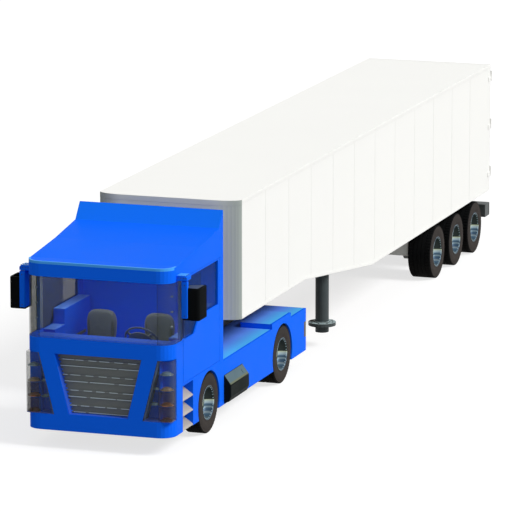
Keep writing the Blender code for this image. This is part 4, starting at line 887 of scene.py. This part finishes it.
SEAT_CUSHION_RISE = 0.32
SEAT_CUSHION_T = 0.15
SEAT_CROWN = 0.012
SEAT_BACK_T = 0.14
CUSHION_STEPS = ((0.0, 0.86), (0.10, 0.97), (0.5, 1.0), (0.86, 0.96), (1.0, 0.80))
BACK_STEPS = ((0.0, 0.72), (0.06, 0.94), (0.3, 1.0), (0.72, 1.0), (0.95, 0.95), (1.0, 0.78))
BACK_OUTLINE = ((0.86, 0.0), (0.95, 0.3), (1.0, 0.55), (0.98, 0.78), (0.80, 0.95), (0.45, 1.0))
BOLSTER_STEPS = ((0.05, 0.0, 0.6), (0.12, 0.0, 1.0), (0.0, 0.6, 1.0), (0.0, 0.74, 0.5))


def build_seat(node):
    """Seat with a cushion, a round-topped back, side bolsters and a plinth."""
    low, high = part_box(node)
    mid_x, width = (low[0] + high[0]) / 2, high[0] - low[0]
    cushion_top = low[2] + SEAT_CUSHION_RISE
    cushion_foot = cushion_top - SEAT_CUSHION_T
    back_front = high[1] - SEAT_BACK_T
    deep, mid_y = back_front - low[1], (back_front + low[1]) / 2

    plinth = Shape()
    outline = rounded(width - 0.20, deep - 0.12, 0.05)
    plinth.loft([[(mid_x + u * shrink, mid_y + 0.02 + v * shrink, z) for u, v in outline]
                 for z, shrink in ((low[2], 1.08), (low[2] + 0.03, 1.08),
                                   (low[2] + 0.05, 0.92), (cushion_foot + 0.02, 0.92))])
    plinth.tidy().piece(node + "_plinth", BLACK, "tractor", "seat", replaces=(node,))

    wide, long = width - 0.02, deep + 0.02
    thick = SEAT_CUSHION_T - 0.03
    steps = [(w * thick, share, 0.22) for w, share in CUSHION_STEPS]
    rings = [[(mid_x + u, mid_y + 0.03 + v, cushion_foot + w)
              for u, v in rounded(wide * share, long * share, min(wide, long) * corner, 2)]
             for w, share, corner in [*steps, (thick + SEAT_CROWN, 0.45, 0.1)]]
    soft_block(node + "_cushion", rings, SEAT, node)

    base, height = cushion_top - 0.05, high[2] - cushion_top + 0.05
    half = width / 2 - 0.004
    right = [(half * u, height * v) for u, v in BACK_OUTLINE]
    left = [(-u, v) for u, v in reversed(right)]
    outline = [left[-1], (0, -0.005), *right, (0, height), *left[:-1]]
    rings = [[(mid_x + u * shrink, back_front + SEAT_BACK_T * w,
               base + height / 2 + (v - height / 2) * shrink) for u, v in outline]
             for w, shrink in BACK_STEPS]
    soft_block(node + "_back", rings, SEAT, node)

    for sign in (-1, 1):
        rings = [[(mid_x + sign * half * 0.80 + 0.035 * r * x, back_front + 0.018 + 0.026 * r * y,
                   base + up + height * share) for x, y in circle((0, 0), 1, 8)]
                 for up, share, r in BOLSTER_STEPS]
        soft_block("%s_bolster_%d" % (node, sign + 1), rings, SEAT_TRIM, node)


STEERING = next(joint for joint in frame["joints"] if joint["name"] == "steering_turn")
STEERING_R = 0.276                          # to the middle of the rim's bar
STEERING_BAR = 0.0165
SPOKE_ANGLES = (90, 215, 325)
SPOKE_STEPS = ((0.12, 0.034, 0.012, -0.03), (0.20, 0.024, 0.009, -0.02),
               (STEERING_R, 0.020, 0.008, 0.0))
HUB_STEPS = ((0.190, -0.060), (0.212, -0.050), (0.210, -0.034), (0.170, -0.014), (0.10, 0.002),
             (0.03, 0.008))


def build_steering():
    """Rim, three spokes, a domed hub pad and the column, about the joint's axis."""
    centre, axis = Vector(STEERING["pos_m"]), Vector(STEERING["axis"]).normalized()
    turn = UP.rotation_difference(axis).to_matrix().to_4x4()
    place = Matrix.Translation(centre) @ turn

    def laid(points):
        return [place @ Vector(point) for point in points]

    shape = Shape()
    bar = circle((STEERING_R, 0), STEERING_BAR, 12)
    rings = [laid((r * x, r * y, z) for r, z in bar) for x, y in circle((0, 0), 1, 64)]
    shape.loft(rings + rings[:1], closed_ends=False)
    shape.tidy()
    for angle in map(math.radians, SPOKE_ANGLES):
        along = Vector((math.cos(angle), math.sin(angle), 0))
        aside = Vector((-along.y, along.x, 0))
        shape.loft([laid(along * r + aside * (w * across) + Vector((0, 0, drop + t * up))
                         for across, up in ((-1, -1), (1, -1), (1, 1), (-1, 1)))
                    for r, w, t, drop in SPOKE_STEPS])
    shape.loft([laid((x, y, h) for x, y in circle((0, 0), r, 32)) for r, h in HUB_STEPS], look=1)
    run = (centre.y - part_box("steering_wheel")[0][1]) / axis.y - 0.03
    shape.rod(centre - axis * 0.04, centre - axis * run, 0.034, 24)
    shape.piece("steering_rim", WHEEL_GREY, "steering", "black", replaces=("steering_wheel",),
                smooth=40, more=(HUB_GREY,))


DASH_CORNER = 0.13
DASH_SHELF_T = 0.20
DASH_LOW_HALF = 0.945
DIAL_OFFSETS = (-0.09, 0.09)
DIAL_TICKS = 9
VENT_PLACES = (-0.85, -0.45, -0.10, 0.16, 0.88)


def build_dash():
    """Shelf under the windscreen, a lower part with its pillar, plain dials and vents."""
    (_, front, foot), (half, rear, top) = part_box("dashboard")
    half -= 0.002

    def put(name, shape, look, **extra):
        shape.piece(name, look, "tractor", "cabin_trim", replaces=("dashboard",), **extra)

    shelf = Shape()
    outline = [(half, rear - 0.03), (half - 0.02, rear - 0.008), (0.02 - half, rear - 0.008),
               (-half, rear - 0.03)]
    for x, start in ((DASH_CORNER - half, 180), (half - DASH_CORNER, 270)):
        outline += arc(x, front + DASH_CORNER, DASH_CORNER, start, start + 90, 6)
    shelf.prism(outline, "Z", top - DASH_SHELF_T, top)
    put("dash_shelf", shelf.tidy(), TRIM_BLUE, bevel=0.012)

    lower = Shape()
    section = [(front + 0.035, top - DASH_SHELF_T), (front + 0.035, foot + 0.28),
               (front + 0.07, foot + 0.25), (rear - 0.075, foot + 0.27),
               (rear - 0.062, foot + 0.33), (rear - 0.062, top - DASH_SHELF_T)]
    lower.prism(section, "X", -DASH_LOW_HALF, DASH_LOW_HALF)
    lower.tidy()
    lower.box((-0.29, 0.29), (front + 0.035, front + 0.125), (foot, foot + 0.26))
    put("dash_lower", lower, TRIM_BLUE, bevel=0.01)

    dials = Shape()
    face, z = rear - 0.006, top - 0.085
    for x in (STEERING["pos_m"][0] + offset for offset in DIAL_OFFSETS):
        dials.rod((x, face - 0.012, z), (x, face, z), 0.062, 32)
        dials.rod((x, face - 0.001, z), (x, face + 0.0015, z), 0.054, 32, look=1)
        for tick_x, tick_z in arc(x, z, 0.045, -40, 220, DIAL_TICKS - 1):
            dials.box(about(tick_x, 0.002), (face + 0.001, face + 0.003), about(tick_z, 0.002))
        dials.box(about(x, 0.002), (face + 0.001, face + 0.003), (z - 0.004, z + 0.036))
    for x in VENT_PLACES:
        dials.box(about(x, 0.075), (face - 0.012, face - 0.0005), about(top - 0.07, 0.025),
                  look=1)
        for z in (top - 0.088 + 0.012 * bar for bar in range(4)):
            dials.box(about(x, 0.07), about(face, 0.002), (z, z + 0.004))
    put("dash_dials", dials, GRILLE, smooth=30, more=(BLACK,))


DOOR_PANEL_T = 0.20
QUARTER_FOOT = 0.44
QUARTER_TOP = 0.73
QUARTER_END = 0.94


def build_door_panel(side, sign):
    """Thick inner panel of a door with a ledge along the stepped window line, painted light blue
    as painted sunlight on it.
    """
    node, glass = "cab_door_" + side, "door_glass_" + side
    skin, _, y0, y1, z0, z1 = side_box(glass)
    start, end = y0 + 0.02, y1 - 0.01
    step = start + QUARTER_FOOT
    sill_low, sill_high = z0 + 0.004, z0 + 0.256
    outer = skin - 0.030
    inner = outer - DOOR_PANEL_T
    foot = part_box(node)[0][2] + 0.10
    panel = Shape(sign)
    outline = [(start, foot), (end, foot), (end, sill_high), (step, sill_high), (step, sill_low),
               (start, sill_low)]
    panel.prism(outline, "X", inner, outer)
    panel.tidy()
    for near, far, z in ((start, step, sill_low), (step, end, sill_high)):
        panel.box((inner + 0.004, outer), (near + 0.004, far - 0.004),
                  (z - 0.004, z + 0.002), look=1)
    panel.box((inner - 0.02, inner + 0.004), (start + 0.30, end - 0.25),
              (foot + 0.30, foot + 0.35), look=2)
    panel.piece("door_panel_" + side, PAINT, node, "cab_paint", smooth=30, bevel=0.003,
                more=(SILL_HIGHLIGHT, SEAT_TRIM))

    pane = Shape(sign)
    back = skin - 0.006
    outline = [(start, z0 + 0.02), (start + QUARTER_FOOT, z0 + 0.02),
               (start + QUARTER_TOP, z0 + 0.27), (start + QUARTER_END, z0 + 0.27),
               (start + QUARTER_END, z1 - 0.06), (start, z1 - 0.06)]
    pane.prism(outline, "X", back - 0.004, back)
    pane.tidy().piece("quarter_light_" + side, DOOR_GLASS, node, "glass", smooth=30)


FRONT_CORNER = 0.25                         # radius of the cab's front corners in plan
TINT_FROM = 1.02
TINT_INSET = 0.026
TINT_T = 0.003
STUD_HEIGHTS = (2.57, 2.32, 2.07)


def build_screen_trim(side, sign):
    """Corner tint strip of the windscreen and, behind it, pale pillar studs that stand in for
    glints: a painted highlight.
    """
    (_, front, foot), (half, _, top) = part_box("windscreen")
    corner = (half - FRONT_CORNER, front + FRONT_CORNER)
    plan = [(TINT_FROM, front + TINT_INSET), *arc(*corner, FRONT_CORNER - TINT_INSET, -90, 0, 8),
            (half - TINT_INSET, front + 0.42)]
    inner = []
    for x, y in plan:
        away = Vector((corner[0] - x, corner[1] - y))
        if x < corner[0]:
            away = Vector((0, 1))
        elif y > corner[1]:
            away = Vector((-1, 0))
        away.normalize()
        inner.append((x + away.x * TINT_T, y + away.y * TINT_T))
    strip = Shape(sign)
    strip.prism(plan + inner[::-1], "Z", foot + 0.005, top - 0.005)
    strip.tidy().piece("windscreen_tint_" + side, TINT, "tractor", "glass", smooth=40)
    studs = Shape(sign)
    for z in STUD_HEIGHTS:
        studs.rod((half - 0.075, front + 0.30, z),
                  (half - 0.115, front + 0.30, z), 0.020, 16, end_radius=0.012)
    studs.piece("pillar_studs_" + side, GLINT_STUD, "tractor", "cabin_trim", bevel=0.002)


# -------------------------------- tractor and trailer fittings
VISOR_TOP = 3.06
VISOR_LIP = 0.028
VISOR_RISE = 0.0276
VISOR_LONG = 0.29


def build_visor_lip():
    """A painted highlight along the top of the visor, round both front corners: a light blue
    strip.
    """
    (_, front, _), (half, _, _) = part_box("cab_roof")
    outer, inner = (arc(half - FRONT_CORNER, front + FRONT_CORNER, FRONT_CORNER + lift, -90, 0, 8)
                    for lift in (-0.0005, -VISOR_LIP))
    outline = ([(-x, y) for x, y in outer[::-1]] + outer
               + inner[::-1] + [(-x, y) for x, y in inner])
    lip = Shape()
    lip.loft([[(x, y, z + min(y - front, VISOR_LONG) * VISOR_RISE) for x, y in outline]
              for z in (VISOR_TOP - 0.002, VISOR_TOP + 0.009)])
    lip.tidy().piece("visor_lip", LIP_HIGHLIGHT, "tractor", "cab_paint", smooth=40, bevel=0.001)


WHEELHOUSES = (("front", "front_wheel_", 0.60), ("rear", "rear_twin_wheel_", 0.66))
WHEELHOUSE_Z = (0.745, 0.975)
WHEELHOUSE_T = 0.008
WHEELHOUSE_RIBS = (-0.36, -0.12, 0.12, 0.36)


def build_wheelhouse(side, sign):
    """Ribbed inner plates behind the tractor's wheel arches."""
    foot, top = WHEELHOUSE_Z
    for name, wheel, inner in WHEELHOUSES:
        mid_y = centre_of(wheel + side)[1]
        plate = Shape(sign)
        outline = [(mid_y + y, z) for y, z in (
            (-0.58, foot), (0.58, foot), (0.52, foot + 0.14), (0.40, top), (-0.40, top),
            (-0.52, foot + 0.14))]
        plate.prism(outline, "X", inner, inner + WHEELHOUSE_T)
        plate.tidy()
        for place in WHEELHOUSE_RIBS:
            plate.box((inner + 0.006, inner + 0.014),
                      about(mid_y + place, 0.02), (foot + 0.03, top - 0.03))
        plate.piece("wheelhouse_%s_%s" % (name, side), CHASSIS, "tractor", "chassis", smooth=30,
                    bevel=0.002)


GUARD_R = (0.540, 0.547)
GUARD_X = (0.676, 1.205)
GUARD_SPAN = (12, 168)
GUARD_STEPS = 26


def build_mudguard(side, sign):
    """Curved guard over the twin wheels, between the inner plate and the fairing."""
    hub = centre_of("rear_twin_wheel_" + side)[1:]
    inner, outer = (arc(*hub, radius, *GUARD_SPAN, GUARD_STEPS) for radius in GUARD_R)
    guard = Shape(sign)
    guard.prism(inner + outer[::-1], "X", *GUARD_X)
    guard.tidy().piece("mudguard_" + side, CHASSIS, "tractor", "chassis", smooth=30, bevel=0.0015)


def build_tail_lamp(side, sign):
    """A black body with an amber cell below two red ones and an amber end."""
    node = "tail_lamp_" + side
    inner, outer, y0, y1, z0, z1 = side_box(node)
    third = (z1 - z0) / 3
    shape = Shape(sign)
    shape.box((inner, outer - 0.012), (y0, y1 - 0.014), (z0, z1), mirrored=True)
    for index, look in enumerate((2, 1, 1)):
        foot = z0 + third * index
        shape.box((inner + 0.008, outer - 0.014), (y1 - 0.016, y1),
                  (foot + 0.004, foot + third - 0.004), look, mirrored=True)
    shape.box((outer - 0.014, outer), (y0 + 0.004, y1 - 0.002), (z0 + 0.004, z1 - 0.004), look=2,
              mirrored=True)
    shape.piece("tail_lamp_unit_" + side, BLACK, "tractor", "lens", smooth=30, bevel=0.004,
                replaces=(node,), more=(REFLEX_RED, MARKER))


DOOR_W = 1.244
HINGE_R = 0.008
LOCK_ROD_R = 0.0105
SEAL_W = 0.016


def build_trailer_door(side, sign):
    """Lock rods with cams and handles, and the seals of a rear door."""
    node = "trailer_door_" + side
    face, z0, z1 = side_box(node)[3:]
    face -= HINGE_R
    locks = Shape(sign)
    for x in (share * DOOR_W + 0.05 for share in (0.18, 0.62)):
        locks.rod((x, face - 0.003, z0 + 0.03), (x, face - 0.003, z1 - 0.03), LOCK_ROD_R, 20)
        for z in (z0 + 0.06, z0 + 0.55, (z0 + z1) / 2, z1 - 0.55, z1 - 0.06):
            locks.box(about(x, 0.03), (face - 0.001, face + 0.0035), about(z, 0.02))
            locks.box(about(x, 0.014), (face, face + 0.008), about(z, 0.014))
        z = z0 + 0.95
        locks.box((x, x + 0.30), (face - 0.001, face + 0.0075), about(z, 0.012))
        locks.box(about(x + 0.26, 0.03), (face, face + 0.004), about(z, 0.03))
    locks.piece("door_locks_" + side, STEEL, node, "chassis", bevel=0.0015)
    seal = Shape(sign)
    inner, outer = 0.0035, DOOR_W
    for xs, zs in (((inner, inner + SEAL_W), (z0 + 0.004, z1 - 0.004)),
                   ((outer - SEAL_W, outer), (z0 + 0.004, z1 - 0.004)),
                   ((inner, outer), (z0 + 0.004, z0 + 0.020)),
                   ((inner, outer), (z1 - 0.020, z1 - 0.004))):
        seal.box(xs, (face - 0.0005, face + 0.003), zs)
    seal.piece("door_seals_" + side, SEAL, node, "black", smooth=30)


RAIL_OUT = 0.003
RAIL_H = 0.05
SEAM_BAYS = 12
SEAM_RIVETS = 14
SLOPE = (3.394, 7.335)                      # the lower edge's rise, from the trailer's front


def build_trailer_side(side, sign):
    """Top and bottom rails, and panel seams with rivets."""
    (_, front, tail_z), (half, rear, _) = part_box("trailer_side_left")
    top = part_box("trailer_roof")[1][2]
    nose_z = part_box("trailer_front_wall")[0][2]
    bends = [front, front + SLOPE[0], front + SLOPE[1], rear]
    out = half + RAIL_OUT

    def under(y):
        share = min(1.0, max(0.0, (y - bends[1]) / (bends[2] - bends[1])))
        return nose_z + (tail_z - nose_z) * share

    rails = Shape(sign)
    rails.box((half, out), (front, rear), (top - RAIL_H, top - 0.004))
    for ends in zip(bends, bends[1:]):
        rails.loft([[(x, y, under(y) + up) for x, up in (
            (half, 0.002), (out, 0.002), (out, 0.055), (half, 0.055))] for y in ends])
    rails.tidy().piece("side_rails_" + side, WHITE, "trailer", "trailer_paint",
                       smooth=30, bevel=0.001)
    seams = Shape(sign)
    for y in (front + (rear - front) / SEAM_BAYS * i for i in range(1, SEAM_BAYS)):
        z0, z1 = under(y) + 0.055, top - RAIL_H
        seams.box((half, half + 0.0012), about(y, 0.022), (z0, z1))
        for z in (z0 + (z1 - z0) * (k + 0.5) / SEAM_RIVETS for k in range(SEAM_RIVETS)):
            for place in about(y, 0.013):
                seams.rod((half, place, z), (half + 0.0024, place, z), 0.004, 6)
    seams.piece("side_seams_" + side, WHITE, "trailer", "trailer_paint", smooth=30)


NOSE_CORNER = (0.44, 0.18)                  # radius across and along
NOSE_CAP = 0.09
NOSE_SKIN = 0.0012


def build_nose_cap():
    """A band round the top of the trailer's front wall."""
    (_, front, _), (half, _, top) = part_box("trailer_roof")
    across, along = NOSE_CORNER
    outline = []
    for lift in (NOSE_SKIN, -NOSE_SKIN):
        bend = arc(half - across, front + along, across + lift, -90, 0, 12, along + lift)
        row = [(-x, y) for x, y in bend[::-1]] + bend
        outline += row if lift > 0 else row[::-1]
    cap = Shape()
    cap.prism(outline, "Z", top - NOSE_CAP, top - 0.001)
    cap.tidy().piece("nose_cap", NOSE, "trailer", "trailer_grey", smooth=40)


AXLE_UP = 0.504                             # the axle's height over the tyre's foot
AXLE_RODS = (
    # distance from the middle, start and end along and up from the axle, radius, sides
    (0.30, (-0.16, 0.09), (-0.30, 0.09), 0.075, 24),
    (0.30, (-0.30, 0.09), (-0.40, 0.09), 0.068, 24),
    (0.30, (-0.17, 0.09), (-0.06, 0.05), 0.012, 10),
    (0.49, (-0.085, -0.085), (-0.085, 0.15), 0.011, 10),
    (0.49, (0.085, -0.085), (0.085, 0.15), 0.011, 10),
)


def build_brakes():
    """Hub drums, brake chambers and U-bolts on the trailer's axles."""
    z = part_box("trailer_wheel_1_left")[0][2] + AXLE_UP
    gear = Shape()
    for row in (1, 2, 3):
        y = centre_of("trailer_wheel_%d_left" % row)[1]
        for gear.sign in (-1, 1):
            gear.rod((0.60, y, z), (0.785, y, z), 0.17, 32)
            for x, start, end, radius, sides in AXLE_RODS:
                gear.rod(*((x, y + along, z + up) for along, up in (start, end)), radius, sides)
            gear.box(about(0.49, 0.05), about(y, 0.11), (z - 0.10, z - 0.082))
    gear.piece("trailer_brakes", IRON, "trailer", "chassis", bevel=0.004)


FOOT_TOP = 0.445
LEG_BOLTS = 8


def build_leg_bolts():
    """Bolts round a raised ring on the landing legs' feet."""
    y = centre_of("landing_gear")[1]
    bolts = Shape()
    for sign in (-1, 1):
        x = sign * (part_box("landing_gear")[1][0] - 0.245)
        for place in circle((x, y), 0.20, LEG_BOLTS):
            bolts.rod((*place, FOOT_TOP), (*place, FOOT_TOP + 0.016), 0.015, 6)
        bolts.rod((x, y, FOOT_TOP), (x, y, FOOT_TOP + 0.014), 0.150, 32, end_radius=0.140)
    bolts.piece("leg_bolts", LEG_PAINT, "trailer", "chassis", bevel=0.002)


def build_bumper():
    """Rear lamps, reflectors and an end cap on the rear bar."""
    low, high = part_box("rear_bumper")
    z, ends = low[2], (high[1] - 0.004, high[1] + 0.004)
    units = Shape()
    for sign in (-1, 1):
        for x, look in ((0.98, 1), (0.80, 2), (0.62, 1)):
            units.box(about(sign * x, 0.075), ends, (z + 0.07, z + 0.18), look)
        x = sign * (high[0] - 0.004)
        units.box((x - 0.002, x + 0.004), (high[1] - 0.045, ends[1]), (z + 0.015, z + 0.235),
                  look=2)
    units.piece("bumper_lamps", BLACK, "trailer", "lens", smooth=30, bevel=0.003,
                more=(REFLEX_RED, MARKER))


# -------------------------------- studio
CAMERA_TARGET = Vector((0.0, -1.404, 1.700))
CAMERA_DISTANCE = 80.01
CAMERA_AZIMUTH = math.radians(18.5912)
CAMERA_ELEVATION = math.radians(11.3628)
LENS_MM = 319.36
SENSOR_MM = 36.0
SUN_POWER = 2.75
SUN_SOFTNESS = math.radians(24)
SUN_FROM = Vector((0.74, -0.05, 0.67))
SKY_LIGHT = 0.40
CAB_LIGHT_SIZE = (2.1, 0.9)
CAB_LIGHT_POWER = 26.0
CAB_LIGHT_AT = (0.0, -8.35, 2.80)
FLOOR_ALBEDO = 0.35
FLOOR_GLOW = 0.72
FLOOR_ENDS = (-400, 400)
WHITE_LIGHT = (1, 1, 1, 1)


def seen_directly(made):
    """1 for camera, glossy and transmission rays, otherwise 0."""
    rays = add_node(made, "LightPath").outputs
    first = add_math(made, "MAXIMUM", rays["Is Camera Ray"], rays["Is Glossy Ray"])
    return add_math(made, "MAXIMUM", first, rays["Is Transmission Ray"])


def build_studio():
    scene = bpy.context.scene
    scene.view_settings.view_transform = "Standard"
    direction = Vector((math.sin(CAMERA_AZIMUTH) * math.cos(CAMERA_ELEVATION),
                        -math.cos(CAMERA_AZIMUTH) * math.cos(CAMERA_ELEVATION),
                        math.sin(CAMERA_ELEVATION)))
    camera = bpy.data.cameras.new("camera")
    camera.lens = LENS_MM
    camera.sensor_width = SENSOR_MM
    camera.clip_end = 1000
    scene.camera = add_object("camera", camera, CAMERA_TARGET + direction * CAMERA_DISTANCE,
                              (math.pi / 2 - CAMERA_ELEVATION, 0, CAMERA_AZIMUTH))

    sun = bpy.data.lights.new("sun", "SUN")
    sun.energy = SUN_POWER
    sun.angle = SUN_SOFTNESS
    add_object("sun", sun, turn=UP.rotation_difference(SUN_FROM).to_euler())
    lamp = bpy.data.lights.new("cab_fill", "AREA")
    lamp.shape = "RECTANGLE"
    lamp.size, lamp.size_y = CAB_LIGHT_SIZE
    lamp.energy = CAB_LIGHT_POWER
    add_object("cab_fill", lamp, CAB_LIGHT_AT)

    world = scene.world = bpy.data.worlds.new("studio")
    world.use_nodes = True
    background = world.node_tree.nodes["Background"].inputs
    plug(world, WHITE_LIGHT, background["Color"])
    plug(world, add_range(world, seen_directly(world), 0, 1, SKY_LIGHT), background["Strength"])

    mesh = bpy.data.meshes.new("floor")
    mesh.from_pydata([(x, y, 0) for y in FLOOR_ENDS for x in FLOOR_ENDS], (), [(0, 1, 3, 2)])
    look = bpy.data.materials.new("floor")
    look.use_nodes = True
    shader = look.node_tree.nodes["Principled BSDF"].inputs
    glow = add_math(look, "MULTIPLY", seen_directly(look), FLOOR_GLOW)
    for socket, value in (("Base Color", (FLOOR_ALBEDO, FLOOR_ALBEDO, FLOOR_ALBEDO, 1)),
                          ("Roughness", 1.0), ("Specular IOR Level", 0.0),
                          ("Emission Color", WHITE_LIGHT), ("Emission Strength", glow)):
        plug(look, value, shader[socket])
    mesh.materials.append(look)
    add_object("floor", mesh, (0, 0, -0.0005))


SIDE_BUILDERS = (build_lamp, build_steps, build_mirror_arm, build_mirror_case, build_door_panel,
                 build_wheelhouse, build_mudguard, build_tank, build_tail_lamp,
                 build_screen_trim, build_trailer_door, build_trailer_side)
BUILDERS = (build_grille, build_grille_frame, build_steering, build_dash, build_visor_lip,
            build_nose_cap, build_brakes, build_leg_bolts, build_bumper)


def main():
    build_studio()
    dress_nodes()
    for side, sign in SIDES:
        build_wheel("front_wheel_" + side, (0.30,))
        build_wheel("rear_twin_wheel_" + side, (0.25, 0.25))
        for row in (1, 2, 3):
            build_wheel("trailer_wheel_%d_%s" % (row, side), (0.44,))
        for build in SIDE_BUILDERS:
            build(side, sign)
    for build in BUILDERS:
        build()
    for node in ("driver_seat", "passenger_seat"):
        build_seat(node)


main()
